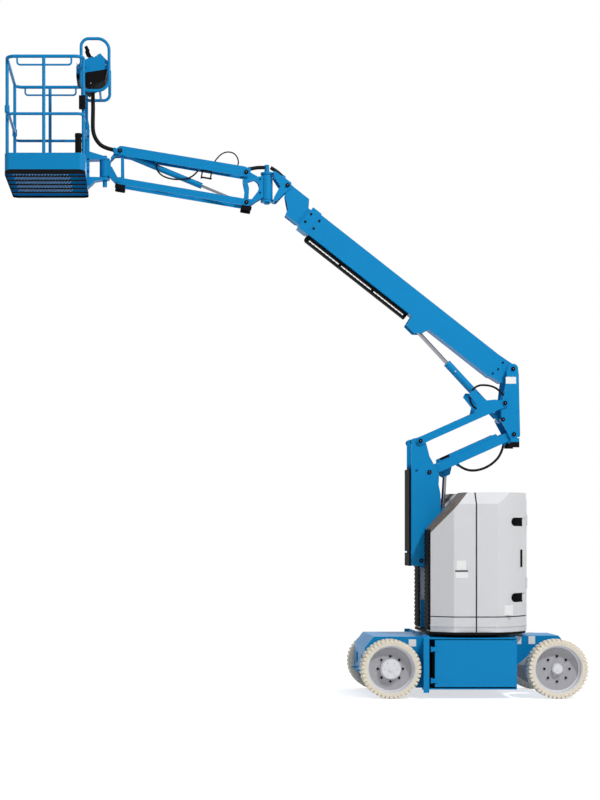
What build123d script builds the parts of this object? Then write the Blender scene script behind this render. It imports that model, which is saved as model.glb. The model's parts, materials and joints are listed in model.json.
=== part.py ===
"""Articulating boom lift with a rotating jib: a self-propelled aerial work platform.

Millimetres, +Z up.  The platform end points to -X, the steered wheels are at +X and
"left" is -Y.  Everything is drawn from the slew axis at the origin and moved by slew_x
when it is written, so that the model's origin is the middle of its overall length, on
the ground.
"""
import os
from math import atan2, cos, degrees, hypot, pi, radians, sin, sqrt, tan

from build123d import *

os.makedirs("parts", exist_ok=True)

# ---------------------------------------------------------------- driving dimensions
slew_x = 1680.0            # slew axis, from the middle of the overall length

# running gear
wheelbase = 1570.0
overall_width = 1190.0
tyre_diameter = 559.0
tyre_width = 178.0
rim_diameter = 451.4       # seat of the solid tyre
fit_gap = 0.3              # running gap at seats and bores
kingpin_y = overall_width / 2 - 195.0
kingpin_radius = 14.0
steer_arm_length = 150.0

# chassis
chassis_top_z = 575.0
belly_z = 90.0
chassis_wall = 12.0
drive_end_x = -1010.0
steer_end_x = 905.0
drive_box_half = overall_width / 2 - tyre_width - 22.0
steer_box_half = kingpin_y - 175.0
tray_front_x = -430.0      # battery trays, between the two bulkheads
tray_rear_x = 395.0
tray_half = overall_width / 2 - 20.0
spine_half = 240.0
tie_down_radius = 15.0
tie_down_plate = 12.0
battery_height = 370.0

# slew ring and turntable
ring_height = 25.0
ring_radius = 330.0
deck_thickness = 25.0
cheek_inner = 168.0
cheek_thickness = 12.0

# turret covers
cover_top_z = 1943.0
cover_seam_z = 772.0       # between the skirt and the covers
cover_half = overall_width / 2 - 35.0
cover_front_x = -391.0
cover_inner = 200.0
cover_wall = 15.0
tail_radius = 600.0
door_seam_x = 22.0
panel_gap = 6.0
door_open_gap = 4.0

# parallelogram risers
arm_length = 893.0
arm_angle = 24.1
lower_arm_pin = (380.0, 927.0)
lower_link_offset = (75.0, 308.0)
mast_pins_offset = (79.2, 854.4)      # from the lower arm's pin to the upper arm's pin
upper_link_offset = (-89.0, 299.0)
plate_inner = 133.0        # column plates
plate_thickness = 14.0
link_inner = 152.0         # riser links, outside the columns
link_thickness = 11.0
arm_outer = 120.0
pin_radius = 22.0

# boom
boom_pin_offset = (81.0, 332.0)       # from the upper link's pin on the upper column
boom_angle = 38.2
boom_top = 37.0
boom_depth = 225.0
boom_half = 80.0
boom_wall = 6.0
outer_boom_length = 2480.0
inner_depth = 183.0
inner_half = 60.0
inner_tail = 250.0         # retracted inner boom, from the boom's pivot
nose_pin = (outer_boom_length + 325.0, 59.0)  # along and above the boom's pivot line
lift_lug = (967.0, -254.0)

# jib
yoke_inner = 77.0
jib_axis_offset = -194.0   # vertical jib axis, from the nose pin
jib_pin_offset = (-399.0, 132.0)
jib_pin_drop = 298.0
jib_length = 1240.0
jib_angle = 9.57
platform_axis_offset = -148.0

# platform
platform_back_gap = 173.0  # from the platform's vertical axis to its rear rail's face
platform_length = 760.0
platform_width = 1170.0
platform_drop = 32.8       # underside of the platform, below the lower pin of the jib head
floor_height = 50.0
toe_height = 200.0
mid_rail_height = 570.0
top_rail_height = 1110.0
rail_radius = 16.0
toe_board = 4.0


# ---------------------------------------------------------------- helpers
def side_plane(origin=(0.0, 0.0), angle=0.0, side=1):
    """A plane across Y whose x runs to +X (side 1) or -X (side -1), raised by angle."""
    c, s = cos(radians(angle)), sin(radians(angle))
    return Plane(origin=(origin[0], 0, origin[1]), x_dir=(side * c, 0, s), z_dir=(0, -side, 0))


def slab(sketch, y_low, y_high, plane=None):
    """A sketch in a side plane, as a plate from y_low to y_high."""
    plane = plane or side_plane()
    start = y_low if plane.z_dir.Y > 0 else y_high
    base = Plane(origin=plane.origin + Vector(0, start, 0), x_dir=plane.x_dir, z_dir=plane.z_dir)
    return extrude(base * sketch, amount=y_high - y_low, dir=plane.z_dir)


def plate(sketch, z_low, z_high):
    """A sketch in plan, as a flat plate."""
    return extrude(Plane.XY.offset(z_low) * sketch, amount=z_high - z_low, dir=(0, 0, 1))


def pair(sketch, y_inner, y_outer, plane=None):
    """The same plate on both sides of the middle plane."""
    return slab(sketch, y_inner, y_outer, plane) + slab(sketch, -y_outer, -y_inner, plane)


def disc(x, y, radius):
    return Pos(x, y) * Circle(radius)


def poly(*points):
    return Polygon(*points, align=None)


def hull(*discs):
    """The plate outline that wraps discs given as (x, y, radius)."""
    return make_hull([edge for x, y, r in discs for edge in disc(x, y, r).edges()])


def rod(start, end, radius):
    start, end = Vector(*start), Vector(*end)
    run = end - start
    return Solid.make_cylinder(radius, run.length, Plane(origin=start, z_dir=run))


def cross_pin(point, radius, y_low, y_high):
    return rod((point[0], y_low, point[1]), (point[0], y_high, point[1]), radius)


def twin_pin(point, radius, y_inner, y_outer):
    return cross_pin(point, radius, y_inner, y_outer) + cross_pin(point, radius, -y_outer, -y_inner)


def block(x0, x1, y0, y1, z0, z1):
    return Pos((x0 + x1) / 2, (y0 + y1) / 2, (z0 + z1) / 2) * Box(x1 - x0, y1 - y0, z1 - z0)


def both_sides(shape):
    return shape + mirror(shape, Plane.XZ)


def tube_path(points, radius, corner, closed=False):
    path = FilletPolyline(*points, radius=corner, close=closed)
    start = Plane(origin=path @ 0, z_dir=path % 0)
    return sweep(start * Circle(radius), path=path)


def hose(points, diameter):
    """Hose through points: straight runs joined by the widest arcs that their lengths allow."""
    radii = []
    for a, b, c in zip(points, points[1:], points[2:]):
        u, v = Vector(*b) - Vector(*a), Vector(*c) - Vector(*b)
        radii.append(0.45 * min(u.length, v.length) / tan(radians(u.get_angle(v) / 2)))
    path = FilletPolyline(*points, radius=radii)
    tube = sweep(Plane(origin=path @ 0, z_dir=path % 0) * Circle(diameter / 2), path=path)
    print(f"hose: {path.length:.0f} long, tightest radius {min(radii):.0f}, "
          f"volume over section x length {tube.volume / (pi * diameter ** 2 / 4 * path.length):.3f}")
    return tube


def side_points(points, y, origin=(0.0, 0.0)):
    """Points given as (x, z) about origin, in the plane at y."""
    return [(origin[0] + x, y, origin[1] + z) for x, z in points]


def gland(path, end, radius, length):
    """Fitting that carries on a hose past one end of its path, end 0 or -1."""
    tip = Vector(*path[end])
    run = (tip - Vector(*path[1 if end == 0 else -2])).normalized()
    return rod(tip, tip + run * length, radius)


def polar(origin, length, angle, side=1):
    c, s = cos(radians(angle)), sin(radians(angle))
    return (origin[0] + side * length * c, origin[1] + length * s)


def shift(point, offset):
    return (point[0] + offset[0], point[1] + offset[1])


# ---------------------------------------------------------------- joint centres (x, z)
axle_z = tyre_diameter / 2
drive_x, steer_x = -wheelbase / 2, wheelbase / 2
wheel_y = (overall_width - tyre_width) / 2

lower_link_pin = shift(lower_arm_pin, lower_link_offset)
mast_arm_pin = polar(lower_arm_pin, arm_length, arm_angle, -1)
mast_link_pin = polar(lower_link_pin, arm_length, arm_angle, -1)
upper_arm_pin = shift(mast_arm_pin, mast_pins_offset)
upper_link_pin = shift(upper_arm_pin, upper_link_offset)
head_arm_pin = polar(upper_arm_pin, arm_length, arm_angle)
head_link_pin = polar(upper_link_pin, arm_length, arm_angle)
boom_pin = shift(head_link_pin, boom_pin_offset)

boom_plane = side_plane(boom_pin, boom_angle, -1)


def on_boom(along, up):
    spot = boom_plane.from_local_coords(Vector(along, up, 0))
    return (spot.X, spot.Z)


nose_point = on_boom(*nose_pin)
jib_axis_x = nose_point[0] + jib_axis_offset
jib_arm_pin = shift(nose_point, jib_pin_offset)
jib_link_pin = shift(jib_arm_pin, (0, -jib_pin_drop))
jib_plane = side_plane(jib_arm_pin, jib_angle, -1)
jib_link_plane = side_plane(jib_link_pin, jib_angle, -1)
head_upper_pin = polar(jib_arm_pin, jib_length, jib_angle, -1)
head_lower_pin = shift(head_upper_pin, (0, -jib_pin_drop))
platform_axis_x = head_upper_pin[0] + platform_axis_offset
platform_rear_x = platform_axis_x - platform_back_gap
platform_front_x = platform_rear_x - platform_length
platform_base_z = head_lower_pin[1] - platform_drop
toe_top_z = platform_base_z + toe_height
mid_rail_z = platform_base_z + mid_rail_height
top_rail_z = platform_base_z + top_rail_height

# hydraulic cylinders: base pin and rod pin, (x, z)
riser_base = polar(lower_arm_pin, 675.5, arm_angle, -1)
riser_top = (riser_base[0] + 56.3, riser_base[1] + 932.1)
lift_base = (boom_pin[0] - 97.0, boom_pin[1] - 488.0)
lift_top = on_boom(*lift_lug)
jib_base = head_upper_pin
jib_top = jib_link_pin
level_top = (nose_point[0] - 86.0, nose_point[1] - 174.0)


# ---------------------------------------------------------------- running gear
def wheel_profile(points):
    """Turned about the Y axis; points are (y, radius), outboard is -Y."""
    return revolve(Plane.YZ * poly(*points), axis=Axis.Y)


def tyre():
    half, crown, bead = tyre_width / 2, tyre_diameter / 2, rim_diameter / 2 + fit_gap
    bevel = 12.0
    return wheel_profile([(-half, bead), (half, bead), (half, crown - bevel), (half - bevel, crown),
                          (-half + bevel, crown), (-half, crown - bevel)])


def rim(hub_radius, hub_reach, bore):
    """Deep drop-centre rim: a cylindrical barrel with the wheel disc set at its middle."""
    half, seat, wall = tyre_width / 2 - 14.0, rim_diameter / 2, 7.0
    disc_y, disc_t = -4.0, 12.0
    well = seat - wall
    body = wheel_profile([(-half, seat), (half, seat), (half, well), (disc_y + disc_t + 14, well),
                          (disc_y + disc_t, well - 16), (disc_y + disc_t, bore), (disc_y, bore), (disc_y, well - 22),
                          (disc_y - 16, well - 6), (-half + 10, well - 6), (-half, well)])
    hub = wheel_profile([(disc_y, 0), (disc_y, hub_radius), (-hub_reach + 14, hub_radius),
                         (-hub_reach, hub_radius - 12), (-hub_reach, 0)])
    return body + hub


def steer_bearing(spindle_radius):
    """Hub sleeve that runs on the knuckle's spindle, behind the steered rim."""
    return wheel_profile([(-4.0, 0), (-4.0, 60.0), (55.0, 48.0), (55.0, spindle_radius + fit_gap),
                          (8.0, spindle_radius + fit_gap), (8.0, 0)])


def place_wheel(shape, x, side):
    shape = shape if side < 0 else mirror(shape, Plane.XZ)
    return Pos(x, side * wheel_y, axle_z) * shape


spindle_radius = 25.0
motor_radius = 95.0
steer_rim = rim(52.0, 46.0, 0.0) + steer_bearing(spindle_radius)
drive_rim = rim(97.0, 62.0, 0.0)


def knuckle(side):
    ear_gap = 1.0
    barrel = rod((steer_x, side * kingpin_y, axle_z - 76 + ear_gap),
                 (steer_x, side * kingpin_y, axle_z + 76 - ear_gap), 29.0)
    pin = rod((steer_x, side * kingpin_y, axle_z - 100), (steer_x, side * kingpin_y, axle_z + 100),
              kingpin_radius)
    spindle = rod((steer_x, side * kingpin_y, axle_z), (steer_x, side * (wheel_y - 9.0), axle_z),
                  spindle_radius)
    arm_outline = hull((steer_x, side * kingpin_y, 22.0),
                       (steer_x + steer_arm_length, side * kingpin_y, 18.0))
    arm = plate(arm_outline, axle_z - 55, axle_z - 37)
    ball_bore = rod((steer_x + steer_arm_length, side * kingpin_y, axle_z - 60),
                    (steer_x + steer_arm_length, side * kingpin_y, axle_z - 30), 9.3)
    return barrel + pin + spindle + arm - ball_bore


def tie_rod():
    x, y, z = steer_x + steer_arm_length, kingpin_y, axle_z - 74
    bar = rod((x, -y, z), (x, y, z), 12.0)
    for side in (-1, 1):
        bar += rod((x, side * y, z - 14), (x, side * y, z + 14), 18.0)
        bar += rod((x, side * y, z), (x, side * y, axle_z - 33), 9.0)
    return bar


def steer_axle():
    inner, outer, half = kingpin_y - 86.0, kingpin_y - 68.0, 40.0
    beam = block(steer_x - half, steer_x + half, -inner, inner, axle_z - 40, axle_z + 40)
    beam -= block(steer_x - half + 9, steer_x + half - 9, 1 - inner, inner - 1, axle_z - 31, axle_z + 31)
    for side in (-1, 1):
        y0, y1 = sorted((side * inner, side * outer))
        beam += block(steer_x - 32, steer_x + 32, y0, y1, axle_z - 96, axle_z + 96)
        for z in (axle_z - 96, axle_z + 76):
            ear = hull((steer_x, side * kingpin_y, 32.0), (steer_x, side * (kingpin_y - 54), 32.0))
            beam += plate(ear, z, z + 20)
        beam -= rod((steer_x, side * kingpin_y, axle_z - 110), (steer_x, side * kingpin_y, axle_z + 110),
                    kingpin_radius + fit_gap)
    saddle = block(steer_x - 40, steer_x + 40, -90, 90, axle_z + 40, 417.0)
    return beam + saddle


def drive_motors():
    """Fixed gear housings that carry the driven wheels, bolted to the chassis sides."""
    flange = rod((drive_x, -drive_box_half, axle_z), (drive_x, -drive_box_half - 14, axle_z), motor_radius + 18)
    gear = rod((drive_x, -drive_box_half - 14, axle_z),
               (drive_x, -(wheel_y - 8.0 - fit_gap), axle_z), motor_radius - 8)
    return both_sides(flange + gear)


# ---------------------------------------------------------------- chassis
def hollow_box(outline, half, wall):
    """A closed plate box with the side view of outline."""
    return slab(outline, -half, half) - slab(offset(outline, amount=-wall), wall - half, half - wall)


def chassis_frame():
    top = chassis_top_z
    drive_outline = poly((tray_front_x, belly_z), (tray_front_x, top), (drive_end_x + 85, top),
                         (drive_end_x, top - 105), (drive_end_x, 205), (drive_end_x + 120, belly_z))
    frame = hollow_box(drive_outline, drive_box_half, chassis_wall)
    for y in (-185, 185):
        frame -= block(drive_end_x - 1, drive_end_x + chassis_wall + 1, y - 55, y + 55, 290, 390)
    steer_outline = poly((tray_rear_x, belly_z), (tray_rear_x, top), (steer_end_x - 35, top),
                         (steer_end_x, top - 40), (steer_end_x, 455), (steer_end_x - 25, 417),
                         (614, 417), (470, 290))
    frame += hollow_box(steer_outline, steer_box_half, chassis_wall)
    frame += block(tray_front_x, tray_rear_x, -tray_half, tray_half, top - chassis_wall, top)
    frame += block(tray_front_x, tray_rear_x, -tray_half, tray_half, belly_z, belly_z + chassis_wall)
    for side in (-1, 1):
        y0, y1 = sorted((side * spine_half, side * (spine_half - chassis_wall)))
        frame += block(tray_front_x, tray_rear_x, y0, y1, belly_z, top)
        y0, y1 = sorted((side * spine_half, side * tray_half))
        frame += block(tray_rear_x - chassis_wall, tray_rear_x, y0, y1, belly_z, top)
        frame += block(tray_front_x - chassis_wall, tray_front_x, y0, y1, 60, top + 20)
        y0, y1 = sorted((side * tray_half, side * (tray_half + chassis_wall)))
        frame += block(tray_front_x - 53, tray_front_x, y0, y1, 60, top + 20)
    for end, reach, y, z in ((drive_end_x, -30, 200, 235), (steer_end_x, 30, 150, 470)):
        for side in (-1, 1):
            eye = hull((end + reach, side * y, 28), (end, side * y - 30, 8), (end, side * y + 30, 8))
            frame += plate(eye, z, z + tie_down_plate)
            frame -= rod((end + reach, side * y, z - 1), (end + reach, side * y, z + 20), tie_down_radius)
    return frame


def batteries():
    gap = 22.0
    return both_sides(block(tray_front_x + 35, tray_rear_x - 35, -tray_half + 30, -spine_half - gap,
                            belly_z + chassis_wall, belly_z + chassis_wall + battery_height))


def battery_door(side):
    """Tray cover hung on a vertical hinge at its front edge."""
    y_in = tray_half + fit_gap
    y0, y1 = sorted((side * y_in, side * (y_in + 12)))
    panel = block(tray_front_x + 53, tray_rear_x - 5, y0, y1, belly_z + 25, chassis_top_z - 20)
    knuckles = [rod((tray_front_x + 20, side * (y_in + 21), z), (tray_front_x + 20, side * (y_in + 21), z + 50), 9)
                for z in (belly_z + 60, chassis_top_z - 130)]
    y0, y1 = sorted((side * (y_in + 12), side * (y_in + 20)))
    straps = [block(tray_front_x + 20, tray_front_x + 90, y0, y1, z + 5, z + 45)
              for z in (belly_z + 60, chassis_top_z - 130)]
    return panel + knuckles + straps


battery_hinge = (tray_front_x + 20, tray_half + fit_gap + 21)


def slew_ring():
    ring = Pos(0, 0, chassis_top_z + ring_height / 2) * (
        Cylinder(ring_radius, ring_height) - Cylinder(ring_radius - 90, ring_height))
    return ring


# ---------------------------------------------------------------- turntable
deck_z = chassis_top_z + ring_height + fit_gap
floor_z = deck_z + deck_thickness


def turntable_frame():
    deck = Pos(0, 0, deck_z + deck_thickness / 2) * Cylinder(tail_radius - 10, deck_thickness)
    deck &= block(cover_front_x - 12, tail_radius, -tail_radius, tail_radius, deck_z - 1, floor_z + 1)
    arm_x, arm_z = lower_arm_pin
    link_x, link_z = lower_link_pin
    cheek = poly((-385, floor_z), (arm_x + 160, floor_z), (arm_x + 160, link_z - 40), (link_x + 60, link_z + 55),
                 (link_x - 60, link_z + 55), (arm_x - 130, arm_z + 60), (-385, 900))
    deck += pair(cheek, cheek_inner, cheek_inner + cheek_thickness)
    deck += cross_pin(lower_arm_pin, pin_radius, -cheek_inner - 24, cheek_inner + 24)
    deck += twin_pin(lower_link_pin, pin_radius, link_inner - 4, cheek_inner + 24)
    return deck


def counterweight():
    ring = Pos(0, 0, floor_z + 140) * Cylinder(tail_radius - cover_wall - 10, 280)
    side_y = cheek_inner + cheek_thickness + 2
    side = ring & block(390, tail_radius, -cover_half + 25, -side_y, floor_z, floor_z + 280)
    middle = ring & block(500, tail_radius, -cheek_inner + 5, cheek_inner - 5, floor_z, floor_z + 280)
    return both_sides(side) + middle


def power_pack():
    return both_sides(block(-200, 150, -cover_half + 60, -cover_inner - 30, floor_z, floor_z + 520))


def cover_plan(inset):
    """Plan of the left-hand cover, drawn with the outboard side at +y."""
    front, side, inner = cover_front_x, cover_half, cover_inner
    tail_side_x = sqrt(tail_radius ** 2 - side ** 2)
    tail_inner_x = sqrt(tail_radius ** 2 - inner ** 2)
    mid = radians((degrees(atan2(side, tail_side_x)) + degrees(atan2(inner, tail_inner_x))) / 2)
    edges = Polyline((tail_inner_x, inner), (front, inner), (front, side - 130), (front + 196, side),
                     (tail_side_x, side))
    arc = ThreePointArc((tail_side_x, side), (tail_radius * cos(mid), tail_radius * sin(mid)),
                        (tail_inner_x, inner))
    outline = make_face(edges.edges() + arc.edges())
    return offset(outline, amount=-inset) if inset else outline


def cover_form(inset, bottom):
    """Outside form of the left-hand cover, or the space inside a wall of inset."""
    body = plate(cover_plan(inset), bottom, cover_top_z - inset)
    nose = poly((cover_front_x - 1, bottom), (700, bottom), (700, cover_top_z), (cover_front_x + 298, cover_top_z),
                (cover_front_x - 1, 1607))
    body &= slab(offset(nose, amount=-inset) if inset else nose, -700, 700)
    brow = Plane.YZ.offset(-700) * poly((cover_half - 70 - inset, cover_top_z + 1),
                                        (cover_half - inset + 5, cover_top_z - 118 - inset),
                                        (cover_half + 50, cover_top_z + 1))
    return body - extrude(brow, amount=1400, dir=(1, 0, 0))


def to_side(shape, side):
    """Covers are drawn with the outboard side at +y."""
    return shape if side > 0 else mirror(shape, Plane.XZ)


def cover_shell():
    bottom = cover_seam_z + panel_gap / 2
    return cover_form(0, bottom) - cover_form(cover_wall, bottom - 20)


def front_cover(side):
    return to_side(cover_shell() & block(-700, door_seam_x - door_open_gap / 2, 0, 700, 0, 2500), side)


def door(side):
    """Rear cover, hung at its rear inner edge, with hinge pockets near the tail."""
    shell = cover_shell() & block(door_seam_x + door_open_gap / 2, 700, cover_inner + cover_wall + 1, 700, 0, 2500)
    depth = Pos(0, 0, 1300) * (Cylinder(tail_radius + 50, 1000) - Cylinder(tail_radius - 11, 1000))
    for z0, z1 in pocket_heights:
        slot = hull((352 + (z1 - z0) / 2, (z0 + z1) / 2, (z1 - z0) / 2), (tail_radius, (z0 + z1) / 2, (z1 - z0) / 2))
        shell -= slab(slot, cover_inner + 60, 700) & depth
    latch = hull((438, 1248, 14), (438, 1391, 14))
    shell -= slab(latch, cover_inner + 60, 700) & depth
    x, y = door_hinge
    for z in hinge_heights:
        shell += rod((x, y, z), (x, y, z + 60), 9) - rod((x, y, z - 1), (x, y, z + 61), 5 + fit_gap)
        shell -= rod((x, y, z - 1), (x, y, z + 61), 5 + fit_gap)
        for gap in (z - 22, z + 60):
            shell -= rod((x, y, gap), (x, y, gap + 22), 14)
    return to_side(shell, side)


door_hinge = (sqrt(tail_radius ** 2 - (cover_inner + cover_wall) ** 2) + 6, cover_inner + cover_wall - 2)
hinge_heights = (1050.0, 1650.0)
pocket_heights = ((905.0, 990.0), (1625.0, 1705.0))   # moulded recesses that run round to the tail


def skirt():
    """Lower band of the covers, fixed to the turntable, with a rolled lip."""
    low, high = floor_z, cover_seam_z - panel_gap / 2
    lip = plate(offset(cover_plan(0), amount=6), low + 50, low + 64)
    band = plate(cover_plan(0), low, high) + (lip & block(-700, 700, cover_inner, 700, low, high))
    band -= plate(cover_plan(cover_wall), low - 1, high + 1)
    band -= block(cover_front_x + cover_wall, 540, cover_inner - 7, cover_inner + 40, low - 1, high + 1)
    ledge = plate(cover_plan(2), high - 10, high + panel_gap - fit_gap) - plate(cover_plan(12), high - 20, high + 20)
    ledge &= block(-700, door_seam_x - 20, cover_inner + 60, 700, 0, 2500)
    return both_sides(band + ledge)


def tail_panel():
    height = cover_top_z - 60 - floor_z
    wall = Cylinder(tail_radius, height) - Cylinder(tail_radius - cover_wall, height)
    wall = Pos(0, 0, floor_z + height / 2) * wall
    half = cover_inner - door_open_gap
    panel = wall & block(400, 700, -half, half, 0, 2500)
    x, y = door_hinge
    for z in hinge_heights:
        for low, high in ((z - 20, z - fit_gap), (z + 60 + fit_gap, z + 80)):
            eye = plate(hull((x, y, 9), (x + 2, y - 25, 7)), low, high)
            panel += both_sides(eye)
        panel += both_sides(rod((x, y, z - 20), (x, y, z + 80), 5))
    return panel


def front_guards():
    """Ribbed panels over the front faces of the covers, beside the riser bay."""
    near, far = cover_front_x - 22, cover_front_x - 6.2
    inner, outer = cover_inner - 24, cover_half - 142
    panel = block(near + 8, far, inner, outer, floor_z + 12, 1590)
    ribs = [block(near, near + 8, inner + 12, outer - 12, z, z + 18)
            for z in range(int(floor_z) + 30, 1570, 40)]
    return both_sides(panel + ribs)


# ---------------------------------------------------------------- parallelogram risers
def bored(shape, points, radius, reach=400.0):
    for point in points:
        shape -= cross_pin(point, radius, -reach, reach)
    return shape


def channel_arm(plane, length, depth, rim_up, web_low):
    """Two side plates and a belly plate between cross tubes at both ends."""
    side = hull((0, 0, 42), (length, 0, 42))
    plates = pair(side, arm_outer - 12, arm_outer, plane)
    inner = poly((110, -depth), (length - 110, -depth), (length - 150, rim_up), (150, rim_up))
    plates += pair(inner, arm_outer - 26, arm_outer - 12, plane)
    belly = poly((90, web_low), (length - 90, web_low), (length - 90, web_low + 10), (90, web_low + 10))
    plates += slab(belly, -arm_outer + 12, arm_outer - 12, plane)
    return plates


def lower_arm():
    plane = side_plane(lower_arm_pin, arm_angle, -1)
    arm = channel_arm(plane, arm_length, 42, 42, -42)
    arm += slab(disc(0, 0, 44), -cheek_inner + 5, cheek_inner - 5, plane)
    arm += slab(disc(arm_length, 0, 40), -plate_inner + 5, plate_inner - 5, plane)
    along = hypot(riser_base[0] - lower_arm_pin[0], riser_base[1] - lower_arm_pin[1])
    lug = poly((along - 45, -40), (along + 45, -40), (along + 30, 30), (along - 30, 30))
    arm += pair(lug, 34, 46, plane)
    arm += cross_pin(riser_base, 18, -46, 46)
    return bored(arm, (lower_arm_pin, mast_arm_pin), pin_radius + fit_gap)


def riser_link(start, end, gusset=False):
    plane = side_plane(start, degrees(atan2(end[1] - start[1], abs(end[0] - start[0]))), 1 if end[0] > start[0] else -1)
    length = hypot(end[0] - start[0], end[1] - start[1])
    outline = hull((0, 0, 38), (90, 0, 34)) + hull((90, 0, 34), (length - 90, 0, 34)) + hull(
        (length - 90, 0, 34), (length, 0, 38))
    if gusset:
        outline += poly((length - 300, 20), (length - 250, 88), (length - 282, 214), (length - 246, 240),
                        (length - 214, 224), (length - 148, 96), (length - 70, 70), (length - 10, 30))
    bar = pair(outline, link_inner, link_inner + link_thickness, plane)
    return bored(bar, (start, end), pin_radius + fit_gap)


def mid_column():
    ax, az = mast_arm_pin
    px, pz = upper_link_pin
    left, right = ax - 93, ax + 188
    boss = 40.0
    outline = poly((left, az - 20), (left, pz - 10), (px - 60, pz + 28), (px + 24, pz + boss - 6), (px + 62, pz - 30),
                   (px + 92, pz - 148), (upper_arm_pin[0] + 96, upper_arm_pin[1] - 20),
                   (upper_arm_pin[0] + 90, upper_arm_pin[1] - 120), (right, az + 640), (right, az + 260),
                   (ax + 51, az - 51), (ax - 79, az - 51)) + disc(px, pz, boss) + disc(px - 62, pz - 8, 32)
    column = pair(outline, plate_inner, plate_inner + plate_thickness)
    web_top, web_low = pz - 270, az + 90
    column += block(left - 22, left + 4, -plate_inner, plate_inner, web_low, web_top)
    column += block(left - 22, left + 8, -plate_inner, plate_inner, az - 51, az + 74)
    column += cross_pin(mast_arm_pin, pin_radius, -plate_inner - 24, plate_inner + 24)
    column += cross_pin(upper_arm_pin, pin_radius, -plate_inner - 24, plate_inner + 24)
    column += twin_pin(mast_link_pin, pin_radius, plate_inner, link_inner + link_thickness + 4)
    column += twin_pin(upper_link_pin, pin_radius, plate_inner, link_inner + link_thickness + 14)
    return bored(column, ((left + 50, upper_arm_pin[1] + 15),), 13)


def upper_arm():
    plane = side_plane(upper_arm_pin, arm_angle)
    arm = channel_arm(plane, arm_length, 42, 74, -42)
    for along in (0, arm_length):
        arm += slab(disc(along, 0, 40), -plate_inner + 5, plate_inner - 5, plane)
    lug_along = plane.to_local_coords(Vector(riser_top[0], 0, riser_top[1]))
    lug = poly((lug_along.X - 75, -40), (lug_along.X + 85, -40), (lug_along.X + 34, lug_along.Y - 26),
               (lug_along.X - 34, lug_along.Y - 26))
    arm += pair(lug, 34, 46, plane)
    slot = poly((95, -43), (250, -43), (250, -31), (95, -31))
    arm -= slab(slot, -32, 32, plane)
    arm += gland(riser_hose_path(), 0, 15, 24) + gland(riser_hose_path(), -1, 15, 26)
    return bored(arm, (upper_arm_pin, head_arm_pin), pin_radius + fit_gap)


def riser_hose_path():
    """Hose loop that hangs below the upper arm; (along, up) from the arm's lower pin."""
    plane = side_plane(upper_arm_pin, arm_angle)
    loop = [(300, -62), (335, -118), (400, -163), (485, -186), (575, -184), (660, -160), (728, -115), (772, -62)]
    spots = [plane.from_local_coords(Vector(along, up, 0)) for along, up in loop]
    return [(spot.X, -70.0, spot.Z) for spot in spots]


def coil_hose_path():
    """Hose loop inside the upper column; (x, z) from the upper link's pin."""
    x, z, reach = -205.2, 56.4, 128.0
    loop = [(8, 76), (-52, 136), (-108, 166)]
    loop += [(x + reach * cos(radians(a)), z + reach * sin(radians(a))) for a in range(72, 289, 36)]
    loop += [(-85, -58), (-22, -42)]
    return side_points(loop, -106.0, head_link_pin)


def upper_column():
    bx, bz = boom_pin
    qx, qz = head_arm_pin
    lx, lz = head_link_pin
    outline = poly((bx - 62, bz - 18), (bx - 48, bz + 10), (bx + 48, bz + 10), (bx + 56, bz - 52),
                   (qx + 61, qz - 20), (qx + 10, qz - 45), (qx - 38, qz - 30), (qx - 119, qz + 124),
                   (qx - 119, qz + 245), (lx + 8, lz - 40), (lx - 12, lz + 10), (lx + 21, lz + 278))
    outline += [disc(bx, bz, 50), disc(qx, qz, 46), disc(lx, lz, 36)]
    column = pair(outline, plate_inner, plate_inner + plate_thickness)
    column += cross_pin(boom_pin, pin_radius, -plate_inner - 24, plate_inner + 24)
    column += cross_pin(head_arm_pin, pin_radius, -plate_inner - 24, plate_inner + 24)
    column += twin_pin(head_link_pin, pin_radius, plate_inner, link_inner + link_thickness + 14)
    column += cross_pin(lift_base, 20, -plate_inner, plate_inner)
    for end, dx, dz in ((0, 17, -17), (-1, 20, 5)):
        tip = coil_hose_path()[end]
        column += slab(disc(tip[0] + dx, tip[2] + dz, 18), -plate_inner, -92)
        column += gland(coil_hose_path(), end, 13, 20)
    column += block(qx + 44, qx + 56, -plate_inner, plate_inner, qz + 60, bz - 260)
    bumper = poly((qx - 30, qz - 126), (qx + 53, qz - 126), (qx + 53, qz - 36), (qx - 30, qz - 36))
    column += pair(bumper, plate_inner - 3, plate_inner + plate_thickness)
    return column


# ---------------------------------------------------------------- hydraulic cylinders
def cylinder_barrel(base, top, length, radius, eye_half, pin):
    """Barrel with its base eye on the pin at base, pointing at top."""
    run = Vector(top[0] - base[0], 0, top[1] - base[1]).normalized()
    start = Vector(base[0], 0, base[1])
    tube = rod(start, start + run * 60, 22) + rod(start + run * 46, start + run * length, radius)
    tube += cross_pin(base, pin + 11, -eye_half, eye_half)
    bore = rod(start + run * 75, start + run * (length + 1), radius - 9)
    return tube - bore - cross_pin(base, pin + fit_gap, -200, 200)


def cylinder_rod(base, top, barrel_length, reach_in, radius, eye_radius, eye_half, piston):
    """Piston rod inside the barrel, with its eye and pin at top."""
    run = Vector(top[0] - base[0], 0, top[1] - base[1])
    length, run = run.length, run.normalized()
    start = Vector(base[0], 0, base[1])
    shaft = rod(start + run * reach_in, start + run * (length - eye_radius + 4), radius)
    shaft += rod(start + run * reach_in, start + run * (reach_in + 40), piston)
    return shaft + cross_pin(top, eye_radius, -eye_half, eye_half)


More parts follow.
